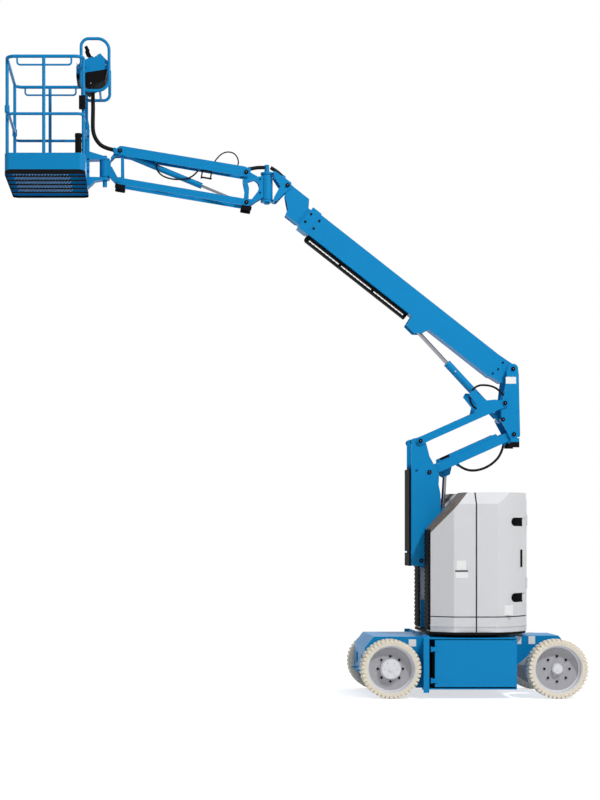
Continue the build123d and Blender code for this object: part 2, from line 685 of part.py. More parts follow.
# ---------------------------------------------------------------- boom
def outer_boom():
    top, low = boom_top, boom_top - boom_depth
    tail = hull((0, 0, 50), (20, low + 60, 40), (180, top - 2, 2), (200, low + 2, 2))
    tube = poly((120, low), (outer_boom_length, low), (outer_boom_length, top), (120, top))
    boom = slab(tube, -boom_half, boom_half, boom_plane)
    collar = poly((outer_boom_length - 105, low - 9), (outer_boom_length, low - 9),
                  (outer_boom_length, top + 9), (outer_boom_length - 105, top + 9))
    boom += slab(collar, -boom_half - 8, boom_half + 8, boom_plane)
    boom += slab(tail, -boom_half, boom_half, boom_plane)
    lug = poly((860, low + 20), (1080, low + 20), (1066, -292), (958, -305), (900, -262))
    boom += pair(lug, boom_half - 12, boom_half, boom_plane)
    cavity = poly((170, low + boom_wall), (outer_boom_length - 60, low + boom_wall),
                  (outer_boom_length - 60, top - boom_wall), (170, top - boom_wall))
    boom -= slab(cavity, -boom_half + boom_wall, boom_half - boom_wall, boom_plane)
    mouth_low = inner_low - fit_gap
    mouth = poly((outer_boom_length - 70, mouth_low), (outer_boom_length + 1, mouth_low),
                 (outer_boom_length + 1, inner_top + fit_gap), (outer_boom_length - 70, inner_top + fit_gap))
    boom -= slab(mouth, -inner_half - fit_gap, inner_half + fit_gap, boom_plane)
    boom += slab(disc(0, 0, 44), -plate_inner + 5, plate_inner - 5, boom_plane)
    return bored(boom, (boom_pin,), pin_radius + fit_gap)


inner_mid = boom_top - boom_depth / 2
inner_top, inner_low = inner_mid + inner_depth / 2, inner_mid - inner_depth / 2


def inner_boom():
    nose_end = nose_pin[0] - 159
    tube = poly((inner_tail, inner_low), (nose_end, inner_low), (nose_end, inner_top), (inner_tail, inner_top))
    boom = slab(tube, -inner_half, inner_half, boom_plane)
    bore = poly((inner_tail - 1, inner_low + 6), (nose_end + 1, inner_low + 6),
                (nose_end + 1, inner_top - 6), (inner_tail - 1, inner_top - 6))
    boom -= slab(bore, -inner_half + 6, inner_half - 6, boom_plane)
    low, top = boom_top - boom_depth + boom_wall + fit_gap, boom_top - boom_wall - fit_gap
    pads = poly((inner_tail, low), (inner_tail + 120, low), (inner_tail + 120, top), (inner_tail, top))
    half = boom_half - boom_wall - fit_gap
    pads = slab(pads, -half, half, boom_plane)
    pads -= slab(poly((inner_tail - 1, inner_low + 6), (inner_tail + 121, inner_low + 6),
                      (inner_tail + 121, inner_top - 6), (inner_tail - 1, inner_top - 6)),
                 -inner_half + 6, inner_half - 6, boom_plane)
    boom += pads
    px, pz = nose_pin
    cheek = poly((px - 292, inner_low - 6), (px - 159, inner_low - 6), (px - 143, -115), (px - 38, -23),
                 (px - 20, pz - 30), (px - 20, pz + 30), (px - 67, pz + 28), (px - 246, pz + 28),
                 (px - 292, inner_top + 4))
    cheeks = cheek + disc(px, pz, 38)
    boom += pair(cheeks, inner_half, inner_half + 12, boom_plane)
    cap = poly((px - 246, pz + 18), (px - 80, pz + 18), (px - 80, pz + 28), (px - 246, pz + 28))
    boom += slab(cap, -inner_half, inner_half, boom_plane)
    return bored(boom, (nose_point,), 20 + fit_gap)


def cable_track():
    """Cable chain under the outer boom: a flat loop with its run-out bend at the tip end."""
    low, high = boom_top - boom_depth - 62, boom_top - boom_depth - fit_gap
    near, far, half = lift_lug[0] + 150, outer_boom_length - 150, 40.0
    radius = (high - low) / 2
    outer = poly((near, low), (far, low), (far, high), (near, high)) + disc(far, (low + high) / 2, radius)
    inner_r = radius - 18
    inner = poly((near + 30, low + 18), (far, low + 18), (far, high - 18), (near + 30, high - 18))
    inner += disc(far, (low + high) / 2, inner_r)
    return slab(outer - inner, -half, half, boom_plane)


# ---------------------------------------------------------------- jib
def yoke():
    x, z = nose_point
    ax = jib_axis_x
    outline = poly((ax + 63, z + 138), (ax + 76, z + 138), (x + 37, z + 26), (x + 37, z - 20), (x - 26, z - 72),
                   (x - 66, z - 112), (x - 100, z - 150), (ax + 63, z - 150), (ax + 63, z - 112), (x - 100, z - 58),
                   (x - 70, z - 5), (x - 106, z + 47), (ax + 63, z + 88))
    frame = pair(outline, yoke_inner, yoke_inner + 12)
    for z0, z1 in ((z + 118, z + 138), (z - 150, z - 130)):
        width = 2 * yoke_inner + 24
        frame += plate(disc(ax, 0, 62) + disc(ax + 44, 0, 28) + Pos(ax + 64, 0) * Rectangle(16, width), z0, z1)
    frame += cross_pin(nose_point, 20, -yoke_inner - 22, yoke_inner + 22)
    frame += cross_pin((x - 28, z + 58), 12, -yoke_inner, yoke_inner)
    frame += slab(hull((x - 28, z + 58, 12), (x - 26, z + 84, 14)), -10, 10)
    frame += gland(yoke_hose_path(), 0, 22, 30)
    frame -= rod((ax, 0, z - 400), (ax, 0, z + 400), 25 + fit_gap)
    return frame


tip_hose = 36.0
drum_radius, drum_z = 22.0, 190.0      # round hose guide on top of the jib's vertical pin


def yoke_hose_path():
    """From the boom's nose over the yoke to the guide on the vertical pin."""
    x, z = nose_point
    ax = jib_axis_x
    return [(x - 45, 0, z + 104), (x - 95, 0, z + 150), (ax + drum_radius + 14, 0, z + drum_z)]


def pivot_hose_path():
    """From the guide on the vertical pin to the jib's upper lug."""
    ax, z = jib_axis_x, nose_point[1]
    return [(ax - drum_radius, 0, z + drum_z), (ax - 92, 0, z + drum_z), (ax - 158, 0, z + 178)]


def jib_pivot():
    x, z = jib_axis_x, nose_point[1]
    low, high = z - 125, z + 113
    housing = rod((x, 0, low), (x, 0, high), 56)
    jx, jz = jib_arm_pin
    kz = jib_link_pin[1]
    web = poly((jx - 28, jz - 20), (jx + 8, jz + 36), (jx + 42, jz + 2), (jx + 116, jz - 40), (x - 40, jz - 30),
               (x - 40, kz + 58), (jx + 100, kz + 22), (jx + 40, kz - 22), (jx - 24, kz + 20), (jx - 12, kz + 120),
               (jx - 30, kz + 210))
    web += [disc(jx, jz, 36), disc(jx, kz, 34)]
    web -= poly((jx + 12, jz - 86), (jx + 34, jz - 80), (jx + 82, jz - 66), (jx + 114, jz - 92), (jx + 128, jz - 136),
                (jx + 116, jz - 178), (jx + 54, kz + 40), (jx + 24, kz + 42), (jx + 29, kz + 146))
    housing += pair(web, 35, 47)
    for z0, z1 in ((z - 400, low), (high, z + 400)):
        housing -= rod((x, 0, z0), (x, 0, z1), 68)
    housing += rod((x, 0, z - 168), (x, 0, z + drum_z - 24), 25)
    housing += rod((x, 0, z + drum_z - 24), (x, 0, z + drum_z + 24), drum_radius)
    end = pivot_hose_path()[-1]
    housing += slab(hull((jx + 34, jz - 12, 14), (end[0] - 22, end[2] - 8, 14)), -35, 35)
    housing += gland(pivot_hose_path(), -1, 22, 22)
    housing += cross_pin(jib_arm_pin, 18, -78, 78)
    return bored(housing, (jib_link_pin,), 16 + fit_gap)


def jib_arm():
    tip = jib_length
    outline = poly((-37, 4), (-12, 43), (26, 52), (tip - 28, 50), (tip + 8, 47), (tip + 60, -4), (tip + 46, -36),
                   (tip - 60, -42), (60, -46), (-30, -42))
    arm = pair(outline, 58, 70, jib_plane)
    cap = poly((105, 36), (tip - 110, 36), (tip - 110, 45), (105, 45))
    arm += slab(cap, -60, 60, jib_plane)
    arm += gland(jib_hose_path(), 0, 12, 40) + gland(jib_hose_path(), -1, 12, 34)
    arm += cross_pin(head_upper_pin, 18, -78, 78)
    return bored(arm, (jib_arm_pin,), 18 + fit_gap)


def jib_hose_path():
    """Hose that hangs below the jib's upper arm; (x, z) from the pin at the platform end."""
    drop = [(352, -115), (352, -175), (400, -235), (480, -266), (560, -275), (640, -268), (716, -238), (760, -184)]
    return side_points(drop, -46.0, head_upper_pin)


def jib_link():
    bar = pair(hull((0, 0, 32), (jib_length, 0, 32)), 82, 100, jib_link_plane)
    bar += twin_pin(jib_link_pin, 16, 30, 106)
    bar += twin_pin(head_lower_pin, 16, 30, 106)
    return bar


def jib_head():
    x = platform_axis_x
    hx, hz = head_upper_pin
    lz = head_lower_pin[1]
    low, high = lz + 53, lz + 212
    housing = rod((x, 0, low), (x, 0, high), 52)
    web = poly((x, hz - 88), (hx - 100, hz - 72), (hx - 34, hz + 12), (hx + 38, hz + 6), (hx + 42, lz), (hx + 20, lz - 30),
               (hx - 22, lz - 30), (hx - 60, lz + 12), (hx - 104, lz + 58), (x, lz + 60))
    web += [disc(hx, hz, 38), disc(hx, lz, 36)]
    web -= poly((x + 58, hz - 92), (hx - 48, hz - 48), (hx + 8, hz - 46), (hx + 8, lz + 48), (hx - 24, lz + 46),
                (hx - 78, lz + 146), (x + 58, lz + 152))
    housing += pair(web, 35, 50)
    for z0, z1 in ((high, lz + 285), (lz - 100, low)):
        housing -= rod((x, 0, z0), (x, 0, z1), 76)
    housing += slab(hull((hx - 50, hz - 14, 12), (hx - 46, hz + 12, 12)), -35, 35)
    housing += gland(platform_cable_path(), -1, 25, 24)
    housing += rod((x, 0, lz - 40), (x, 0, lz + 262), 22)
    return bored(housing, (head_upper_pin,), 18 + fit_gap) - bored_twins(head_lower_pin, 16 + fit_gap)


def platform_cable_path():
    """Cable bundle from the control box down to the jib head; (x, z) from the head's upper pin."""
    run = [(-266, 574), (-262, 440), (-266, 300), (-264, 192), (-226, 106), (-158, 44), (-66, 24)]
    return side_points(run, 0.0, head_upper_pin)


def platform_cable():
    """The bundle, with a domed end on the platform's axis so that it turns in its gland."""
    bundle = hose(platform_cable_path(), 40.0)
    before, end = (Vector(*spot) for spot in platform_cable_path()[-2:])
    heading = (end - before).normalized()
    centre = end - heading * ((end.X - platform_axis_x) / heading.X)
    dome = Pos(centre) * Sphere((end - centre).length)
    return bundle - (block(end.X - 20, end.X + 40, -30, 30, end.Z - 40, end.Z + 40) - dome)


def bored_twins(point, radius):
    return twin_pin(point, radius, 25, 120)


# ---------------------------------------------------------------- platform
def platform_frame():
    cx = (platform_rear_x + platform_front_x) / 2
    size = Rectangle(platform_length, platform_width)
    plan = fillet(size.vertices(), 60)
    inner = offset(plan, amount=-toe_board)
    floor_top = platform_base_z + floor_height
    tray = plate(Pos(cx, 0) * plan, platform_base_z, toe_top_z)
    tray -= plate(Pos(cx, 0) * inner, floor_top, toe_top_z + 1)
    tray -= plate(Pos(cx, 0) * inner, platform_base_z - 1, floor_top - 4)
    for y in (-390, -195, 0, 195, 390):
        tray += block(platform_front_x + 3, platform_rear_x - 3, y - 15, y + 15, platform_base_z + 12, floor_top - 2)
    return tray


rail_inset = toe_board + rail_radius + fit_gap


def platform_mount():
    """Back plate with wedge-shaped arms above and below the platform's vertical axis."""
    x, low = platform_axis_x, head_lower_pin[1]
    back = platform_rear_x + fit_gap
    upright = poly((back, mid_rail_z + 120), (back + 6, mid_rail_z + 96), (back + 24, mid_rail_z), (back + 24, low - 44),
                   (back, low - 48))
    arms = slab(upright, -70, 70)
    outline = hull((x, 0, 48), (back + 15, -50, 14), (back + 15, 50, 14))
    upper = poly((back, low + 217), (back, low + 300), (back + 22, low + 294), (x - 22, low + 258), (x + 10, low + 238),
                 (x + 50, low + 232), (x + 50, low + 217))
    lower = poly((back, low + 48), (x + 50, low + 48), (x + 50, low + 24), (x - 20, low + 22), (back + 80, low + 13),
                 (back + 40, low - 27), (back, low - 48))
    for z0, z1, side in ((low + 217, low + 300, upper), (low - 48, low + 48, lower)):
        arms += plate(outline, z0, z1) & slab(side, -100, 100)
    return arms - rod((x, 0, low - 400), (x, 0, low + 600), 22 + fit_gap)


def rail_loop(z, inset, radius, corner=80.0):
    x0, x1 = platform_front_x + inset, platform_rear_x - inset
    y = platform_width / 2 - inset
    return tube_path([(x0, -y, z), (x1, -y, z), (x1, y, z), (x0, y, z)], radius, corner, closed=True)


def platform_rails():
    inset = rail_inset
    x0, x1 = platform_front_x + inset, platform_rear_x - inset
    y = platform_width / 2 - inset
    xm = (x0 + x1) / 2 - 10
    floor_top = platform_base_z + floor_height
    rails = rail_loop(top_rail_z, inset, rail_radius)
    for px, py in ((x0, 490), (xm, y), (x1, 490)):
        for side in (-1, 1):
            rails += rod((px, side * py, floor_top), (px, side * py, top_rail_z), rail_radius)
    low = [(x0, -490, mid_rail_z), (x0, -y, mid_rail_z), (x1, -y, mid_rail_z), (x1, y, mid_rail_z),
           (x0, y, mid_rail_z), (x0, 490, mid_rail_z)]
    rails += tube_path(low, 14, 60)
    for side in (-1, 1):
        grip = [(x0 + 100, side * y, top_rail_z), (x0 + 100, side * y, top_rail_z - 80),
                (x1 - 110, side * y, top_rail_z - 80), (x1 - 110, side * y, top_rail_z)]
        rails += tube_path(grip, 9, 28)
    return rails


def entry_bar():
    """Mid bar of the front end, which slides up its two posts to let people in."""
    x, z = platform_front_x + rail_inset, mid_rail_z + 62
    bar = rod((x, -490, z), (x, 490, z), 14)
    for side in (-1, 1):
        bar += rod((x, side * 490, z - 32), (x, side * 490, z + 32), 24)
        bar -= rod((x, side * 490, z - 40), (x, side * 490, z + 40), rail_radius + 0.5)
    return bar


def console():
    """Control box that clamps round the rear top rail."""
    x, z = platform_rear_x, top_rail_z
    outline = poly((x - 100, z + 16), (x - 32, z + 71), (x + 36, z + 101), (x + 72, z + 101), (x + 110, z + 129),
                   (x + 134, z + 138), (x + 146, z + 123), (x + 204, z + 62), (x + 211, z + 25), (x + 177, z - 118),
                   (x + 57, z - 170), (x + 19, z - 206), (x - 40, z - 144), (x - 100, z - 91))
    box = slab(outline, -165, 165) - cross_pin((x - rail_inset, z), rail_radius + fit_gap, -170, 170)
    return box + gland(platform_cable_path(), 0, 25, 60)


def console_guard():
    """Hoops beside the control box: tall on the left, low on the right, joined below."""
    x, z = platform_rear_x, top_rail_z
    near, far, low = x - rail_inset - rail_radius - 15.2, x + 217, z - 228
    hoops = None
    for y, top, arc in ((-190, z + 272, 112), (190, z + 110, 60)):
        loop = tube_path([(near, y, low), (far, y, low), (far, y, top), (near, y, top)], 15, [74, arc, arc, 74],
                         closed=True)
        hoops = loop if hoops is None else hoops + loop
    return hoops + rod((x + 130, -190, low), (x + 130, 190, low), 11)


riser_span = hypot(riser_top[0] - riser_base[0], riser_top[1] - riser_base[1])
lift_span = hypot(lift_top[0] - lift_base[0], lift_top[1] - lift_base[1])
jib_span = hypot(jib_top[0] - jib_base[0], jib_top[1] - jib_base[1])

nodes = {
    "chassis_frame": chassis_frame(),
    "steer_axle": steer_axle(),
    "drive_motors": drive_motors(),
    "batteries": batteries(),
    "slew_ring": slew_ring(),
    "tie_rod": tie_rod(),
    "turntable_frame": turntable_frame(),
    "counterweight": counterweight(),
    "power_pack": power_pack(),
    "skirt": skirt(),
    "tail_panel": tail_panel(),
    "front_guards": front_guards(),
    "lower_arm": lower_arm(),
    "lower_link": riser_link(lower_link_pin, mast_link_pin),
    "mid_column": mid_column(),
    "upper_arm": upper_arm(),
    "upper_link": riser_link(upper_link_pin, head_link_pin, gusset=True),
    "upper_column": upper_column(),
    "riser_barrel": cylinder_barrel(riser_base, riser_top, 600, 45, 32, 18),
    "riser_rod": cylinder_rod(riser_base, riser_top, 600, 330, 20, 28, 28, 35.7),
    "lift_barrel": cylinder_barrel(lift_base, lift_top, 760, 37, 40, 20),
    "lift_rod": cylinder_rod(lift_base, lift_top, 760, 420, 19, 20, 55, 27.7),
    "outer_boom": outer_boom(),
    "inner_boom": inner_boom(),
    "cable_track": cable_track(),
    "yoke": yoke(),
    "jib_pivot": jib_pivot(),
    "jib_arm": jib_arm(),
    "jib_link": jib_link(),
    "jib_head": jib_head(),
    "jib_barrel": cylinder_barrel(jib_base, jib_top, 860, 29, 30, 18),
    "jib_rod": cylinder_rod(jib_base, jib_top, 860, 500, 14, 27, 28, 19.7),
    "platform_frame": platform_frame(),
    "platform_mount": platform_mount(),
    "platform_rails": platform_rails(),
    "entry_bar": entry_bar(),
    "console": console(),
    "console_guard": console_guard(),
    "platform_cable": platform_cable(),
    "jib_hose": hose(jib_hose_path(), 16.0),
    "yoke_hose": hose(yoke_hose_path(), tip_hose),
    "pivot_hose": hose(pivot_hose_path(), tip_hose),
    "riser_hose": hose(riser_hose_path(), 24.0),
    "coil_hose": hose(coil_hose_path(), 20.0),
}
for side, name in ((-1, "left"), (1, "right")):
    nodes[f"knuckle_{name}"] = knuckle(side)
    nodes[f"battery_door_{name}"] = battery_door(side)
    nodes[f"front_cover_{name}"] = front_cover(side)
    nodes[f"door_{name}"] = door(side)
    for x, axle, wheel in ((drive_x, "drive", drive_rim), (steer_x, "steer", steer_rim)):
        nodes[f"tyre_{axle}_{name}"] = place_wheel(tyre(), x, side)
        nodes[f"rim_{axle}_{name}"] = place_wheel(wheel, x, side)

for name, shape in nodes.items():
    solids = [solid.moved(Location((slew_x, 0, 0))) for solid in shape.solids()]
    export_step(Compound(solids), f"parts/{name}.step")
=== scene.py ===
import json
import math

import bmesh
import bpy
from mathutils import Matrix, Vector
from mathutils.bvhtree import BVHTree


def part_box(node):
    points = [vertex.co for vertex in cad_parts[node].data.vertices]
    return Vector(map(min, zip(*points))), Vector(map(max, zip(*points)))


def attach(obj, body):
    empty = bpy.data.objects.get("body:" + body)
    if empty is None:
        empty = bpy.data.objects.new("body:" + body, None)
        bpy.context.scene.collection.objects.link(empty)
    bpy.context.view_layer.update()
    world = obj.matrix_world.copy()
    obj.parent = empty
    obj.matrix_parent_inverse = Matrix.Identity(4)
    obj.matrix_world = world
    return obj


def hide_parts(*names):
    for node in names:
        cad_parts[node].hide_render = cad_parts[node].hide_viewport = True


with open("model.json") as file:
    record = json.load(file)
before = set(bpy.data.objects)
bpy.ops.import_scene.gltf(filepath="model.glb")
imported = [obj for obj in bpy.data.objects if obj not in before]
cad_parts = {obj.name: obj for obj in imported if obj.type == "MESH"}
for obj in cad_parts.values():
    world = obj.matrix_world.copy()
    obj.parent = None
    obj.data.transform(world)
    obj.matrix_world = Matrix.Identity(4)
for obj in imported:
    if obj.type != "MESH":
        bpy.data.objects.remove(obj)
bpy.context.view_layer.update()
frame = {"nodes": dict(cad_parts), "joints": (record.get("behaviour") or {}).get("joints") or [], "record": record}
pins = {joint["name"]: Vector(joint["pos_m"]) for joint in frame["joints"] if joint.get("pos_m")}
axes = {joint["name"]: Vector(joint["axis"]) for joint in frame["joints"]}
print("frame", len(frame["nodes"]), "nodes")


def toLinear(channel):
    return channel / 12.92 if channel <= 0.04045 else ((channel + 0.055) / 1.055) ** 2.4


def colour(code):
    code = code.lstrip("#")
    return tuple(toLinear(int(code[i:i + 2], 16) / 255) for i in (0, 2, 4)) + (1.0,)


def addNode(tree, kind, place, settings=None, links=None):
    made = tree.nodes.new(kind)
    made.location = place
    for name, value in (settings or {}).items():
        if isinstance(name, str) and hasattr(made, name):
            setattr(made, name, value)
        else:
            made.inputs[name].default_value = value
    for name, (source, output) in (links or {}).items():
        tree.links.new(source.outputs[output], made.inputs[name])
    return made


# Each finish: colour, how much it drifts over a metre, roughness and how far it wanders, metal, clear coat,
# grain size in mm, how deep the grain stands, and gloss where it is less than usual.
finishes = {
    # two-pack polyurethane enamel, sprayed: satin gloss with a faint orange peel
    "polyurethaneBlue": dict(base="#0089c8", drift=0.05, rough=0.42, wander=0.10, metal=0.0,
                             coat=0.03, grain=4.0, depth=0.05, shine=0.16),
    # glass-fibre covers with a satin gel coat: soft sheen, nearly even
    "gelCoatGrey": dict(base="#dcdde0", drift=0.03, rough=0.46, wander=0.06, metal=0.0,
                        coat=0.10, grain=6.0, depth=0.05),
    # pressed steel wheel disc in silver wheel enamel: a little metallic flake
    "wheelSilver": dict(base="#dfe0e5", drift=0.04, rough=0.40, wander=0.10, metal=0.15,
                        coat=0.10, grain=3.0, depth=0.06),
    # non-marking rubber with white filler: dull, slightly grainy cream
    "nonMarkingRubber": dict(base="#efe7d6", drift=0.05, rough=0.85, wander=0.08, metal=0.0,
                             coat=0.0, grain=3.0, depth=0.18),
    # black primer, brushed on weldments: matt, with hardly a highlight
    "blackPrimer": dict(base="#0c0b0f", drift=0.08, rough=0.70, wander=0.10, metal=0.0,
                        coat=0.0, grain=4.0, depth=0.08, shine=0.08),
    # hydraulic hose cover, extruded nitrile: matt with a fine cloth print
    "nitrileHose": dict(base="#0b0a0c", drift=0.08, rough=0.62, wander=0.08, metal=0.0,
                        coat=0.0, grain=1.5, depth=0.14, shine=0.16),
    # injection-moulded polypropylene: matt, finely spark-eroded grain
    "mouldedBlack": dict(base="#0e0d11", drift=0.06, rough=0.74, wander=0.06, metal=0.0,
                         coat=0.0, grain=1.5, depth=0.12, shine=0.08),
    # hard-chromed and ground rod: a metal mirror under a film of oil
    "hardChrome": dict(base="#8f9196", drift=0.02, rough=0.22, wander=0.04, metal=1.0,
                       coat=0.0, grain=5.0, depth=0.01),
    # zinc-plated steel fasteners: bright but hazy metal
    "zincSteel": dict(base="#b7bac0", drift=0.05, rough=0.36, wander=0.10, metal=0.9,
                      coat=0.0, grain=1.5, depth=0.05),
    # grey iron casting, painted as cast: sandy and dull
    "greyIron": dict(base="#2a2b2d", drift=0.10, rough=0.78, wander=0.08, metal=0.2,
                     coat=0.0, grain=4.0, depth=0.30),
    # blank vinyl film on the paint: even white, slight sheen
    "whiteVinyl": dict(base="#f4f5f5", drift=0.01, rough=0.38, wander=0.02, metal=0.0,
                       coat=0.10, grain=8.0, depth=0.01),
    # red phenolic knob, moulded: glossy
    "redPhenolic": dict(base="#b3261e", drift=0.03, rough=0.30, wander=0.04, metal=0.0,
                        coat=0.20, grain=4.0, depth=0.02),
    # amber polycarbonate lens, moulded: glossy and even
    "amberLens": dict(base="#d98a1f", drift=0.03, rough=0.22, wander=0.04, metal=0.0,
                      coat=0.30, grain=4.0, depth=0.02),
}
# what all finishes share: drifting patches per metre, coat and second-colour roughness, usual gloss
surfaceLook = dict(patches=1.7, coatRough=0.12, bandRough=0.96, shine=0.5, least=0.04)


def makeFinish(name, look, bands=()):  # bands: second colour where low < direction . place < high
    material = bpy.data.materials.new(name)
    material.use_nodes = True
    tree = material.node_tree
    tree.nodes.clear()
    place = addNode(tree, "ShaderNodeTexCoord", (-1400, 0))
    patches = addNode(tree, "ShaderNodeTexNoise", (-1100, 200), {
        "Scale": surfaceLook["patches"], "Detail": 5.0, "Roughness": 0.6}, {"Vector": (place, "Object")})
    fine = addNode(tree, "ShaderNodeTexNoise", (-1100, -200), {
        "Scale": 1000 / look["grain"], "Detail": 3.0}, {"Vector": (place, "Object")})
    tone = addNode(tree, "ShaderNodeMapRange", (-800, 300), {
        "To Min": 1 - look["drift"], "To Max": 1 + look["drift"]}, {"Value": (patches, "Fac")})
    rougher = addNode(tree, "ShaderNodeMapRange", (-800, 0), {
        "To Min": max(surfaceLook["least"], look["rough"] - look["wander"]),
        "To Max": min(1.0, look["rough"] + look["wander"])}, {"Value": (patches, "Fac")})
    tint = addNode(tree, "ShaderNodeMix", (-500, 300), {
        "data_type": "RGBA", "blend_type": "MULTIPLY", 0: 1.0, 6: colour(look["base"])}, {
        7: (tone, "Result")})
    bump = addNode(tree, "ShaderNodeBump", (-500, -250), {
        "Strength": look["depth"], "Distance": look["grain"] / 5000}, {"Height": (fine, "Fac")})
    shown, rough = (tint, 2), (rougher, "Result")
    for index, (direction, low, high, second) in enumerate(bands):
        drop = -500 - 200 * index
        along = addNode(tree, "ShaderNodeVectorMath", (-800, drop), {
            "operation": "DOT_PRODUCT", 1: direction}, {0: (place, "Object")})
        inside = addNode(tree, "ShaderNodeMath", (-500, drop), {
            "operation": "COMPARE", 1: (low + high) / 2, 2: (high - low) / 2}, {0: (along, "Value")})
        mixed = addNode(tree, "ShaderNodeMix", (-200, drop + 800), {
            "data_type": "RGBA", 7: colour(second)}, {0: (inside, "Value"), 6: shown})
        matte = addNode(tree, "ShaderNodeMath", (-350, drop), {
            "operation": "MULTIPLY", 1: surfaceLook["bandRough"]}, {0: (inside, "Value")})
        rougher = addNode(tree, "ShaderNodeMath", (-200, drop), {"operation": "MAXIMUM"}, {
            0: (matte, "Value"), 1: rough})
        shown, rough = (mixed, 2), (rougher, "Value")
    shader = addNode(tree, "ShaderNodeBsdfPrincipled", (100, 0), {
        "Metallic": look["metal"], "Coat Weight": look["coat"], "Coat Roughness": surfaceLook["coatRough"],
        "Specular IOR Level": look.get("shine", surfaceLook["shine"])},
        {"Base Color": shown, "Roughness": rough, "Normal": (bump, "Normal")})
    addNode(tree, "ShaderNodeOutputMaterial", (400, 0), links={"Surface": (shader, "BSDF")})
    return material


materials = {name: makeFinish(name, look) for name, look in finishes.items()}

slotFinish = {
    "blue_paint": "polyurethaneBlue", "grey_cover": "gelCoatGrey", "rim_grey": "wheelSilver",
    "tyre_white": "nonMarkingRubber", "black_steel": "blackPrimer",
    "black_plastic": "mouldedBlack", "chrome_rod": "hardChrome", "cast": "greyIron",
}
hoseNodes = ("platform_cable", "jib_hose", "yoke_hose", "pivot_hose", "riser_hose", "coil_hose")
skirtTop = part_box("skirt")[1].z
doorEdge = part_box("door_left")[0].x
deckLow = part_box("platform_frame")[0].z
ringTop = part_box("slew_ring")[1].z

# edges and undersides in a second colour, by place: direction, from, to (metres), colour;
# from 0 means from the piece's own edge
# disc: painted shade, a darker grey for the wheel discs deep inside the rims
bandLook = dict(black="#0c0b0f", brown="#2e2824", slopeBrown="#6f655f", disc="#b4b3b8",
                seal=0.014, sealBelow=0.7, slope=(-0.747, 0, 0.665), slopeWide=0.030,
                ringUp=0.030, deckUp=0.022, toeWay=(0, 0.3, 1), toeUp=-0.132,
                consoleWay=(-0.16, 0, 1), consoleTo=6.312,
                columnTo=2.437, guardTo=1.1495, discDown=0.030, discUp=0.010)
seal, black, brown = bandLook["seal"], bandLook["black"], bandLook["brown"]
upright, lengthwise = (0, 0, 1), (1, 0, 0)
coverCorners = frame["nodes"]["front_cover_left"].data.vertices
frontEdge = max(Vector(bandLook["slope"]).dot(corner.co) for corner in coverCorners)
edgeTrim = (bandLook["slope"], frontEdge - bandLook["slopeWide"], 1, bandLook["slopeBrown"])
doorSeam = (lengthwise, doorEdge - seal, doorEdge, brown)
twoTone = {
    "skirt": [(upright, skirtTop - bandLook["sealBelow"] * seal, skirtTop + seal, brown), doorSeam],
    "turntable_frame": [(upright, ringTop - seal, ringTop + bandLook["ringUp"], black)],
    # undersides of the floor beams, and the whole near edge below the toe board
    "platform_frame": [(upright, 0, deckLow + bandLook["deckUp"], black),
                       (bandLook["toeWay"], 0, deckLow + bandLook["toeUp"], black)],
    "console": [(bandLook["consoleWay"], 0, bandLook["consoleTo"], black)],
    "upper_column": [(upright, 0, bandLook["columnTo"], black)],
    # black along the column's front edge: partly the dark hose tray on the web, partly painted shade on the web's
    # shaded side
    "mid_column": [(lengthwise, 0, bandLook["guardTo"], black)],
    "front_cover_left": [doorSeam, edgeTrim],
    "front_cover_right": [doorSeam, edgeTrim],
}
# painted shade on the discs inside the rims: a darker grey band across each disc, standing for the shade in the
# recess
for rim in ("rim_drive", "rim_steer"):  # discs inside the rims
    for side, out in (("left", -1), ("right", 1)):
        low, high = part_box(f"{rim}_{side}")
        inner = out * (low.y + high.y) / 2
        twoTone[f"{rim}_{side}"] = [((0, out, 0), inner - bandLook["discDown"], inner + bandLook["discUp"],
                                     bandLook["disc"])]

for part in frame["record"]["subparts"]:
    name = part["node"]
    finish = "nitrileHose" if name in hoseNodes else slotFinish[part["material_slot"]]
    painted = materials[finish]
    if name in twoTone:
        painted = makeFinish(finish + "And" + name.title().replace("_", ""), finishes[finish], twoTone[name])
    for slot in frame["nodes"][name].material_slots:
        slot.link = "OBJECT"
        slot.material = painted
print("materials", len(bpy.data.materials))


def finishPiece(name, mesh, body, material=None):
    piece = bpy.data.objects.new(name, mesh)
    bpy.context.collection.objects.link(piece)
    if material:
        mesh.materials.append(materials[material])
    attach(piece, body)
    return piece


def toMesh(name, shape):
    bmesh.ops.recalc_face_normals(shape, faces=shape.faces)
    mesh = bpy.data.meshes.new(name)
    shape.to_mesh(mesh)
    shape.free()
    return mesh


def closeShape(name, shape, body, material):
    return finishPiece(name, toMesh(name, shape), body, material)


def addBox(shape, centre, size, turn=0.0, edge=0.0):
    place = Matrix.Translation(centre) @ Matrix.Rotation(turn, 4, "Y") @ Matrix.Diagonal((*size, 1))
    made = bmesh.ops.create_cube(shape, size=1.0, matrix=place)
    if edge:
        edges = {side for corner in made["verts"] for side in corner.link_edges}
        bmesh.ops.bevel(shape, geom=list(edges), offset=edge, segments=2, affect="EDGES", profile=0.6)


def addRod(shape, start, end, radius, topRadius=None, sides=20):
    start, end = Vector(start), Vector(end)
    turn = (end - start).to_track_quat("Z", "Y").to_matrix().to_4x4()
    bmesh.ops.create_cone(shape, cap_ends=True, segments=sides, radius1=radius,
                          radius2=radius if topRadius is None else topRadius, depth=(end - start).length,
                          matrix=Matrix.Translation((start + end) / 2) @ turn)


solids = {}  # one search tree for each node that pieces are laid on


def hitAt(node, start, way):
    if node not in solids:
        mesh = frame["nodes"][node].data
        places = [vertex.co for vertex in mesh.vertices]
        solids[node] = BVHTree.FromPolygons(places, [face.vertices for face in mesh.polygons])
    return solids[node].ray_cast(Vector(start), Vector(way))[0]


def faceAt(node, x, z, side=-1):
    hit = hitAt(node, (x, 3.0 * side, z), (0, -side, 0))
    return hit.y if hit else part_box(node)[0 if side < 0 else 1].y


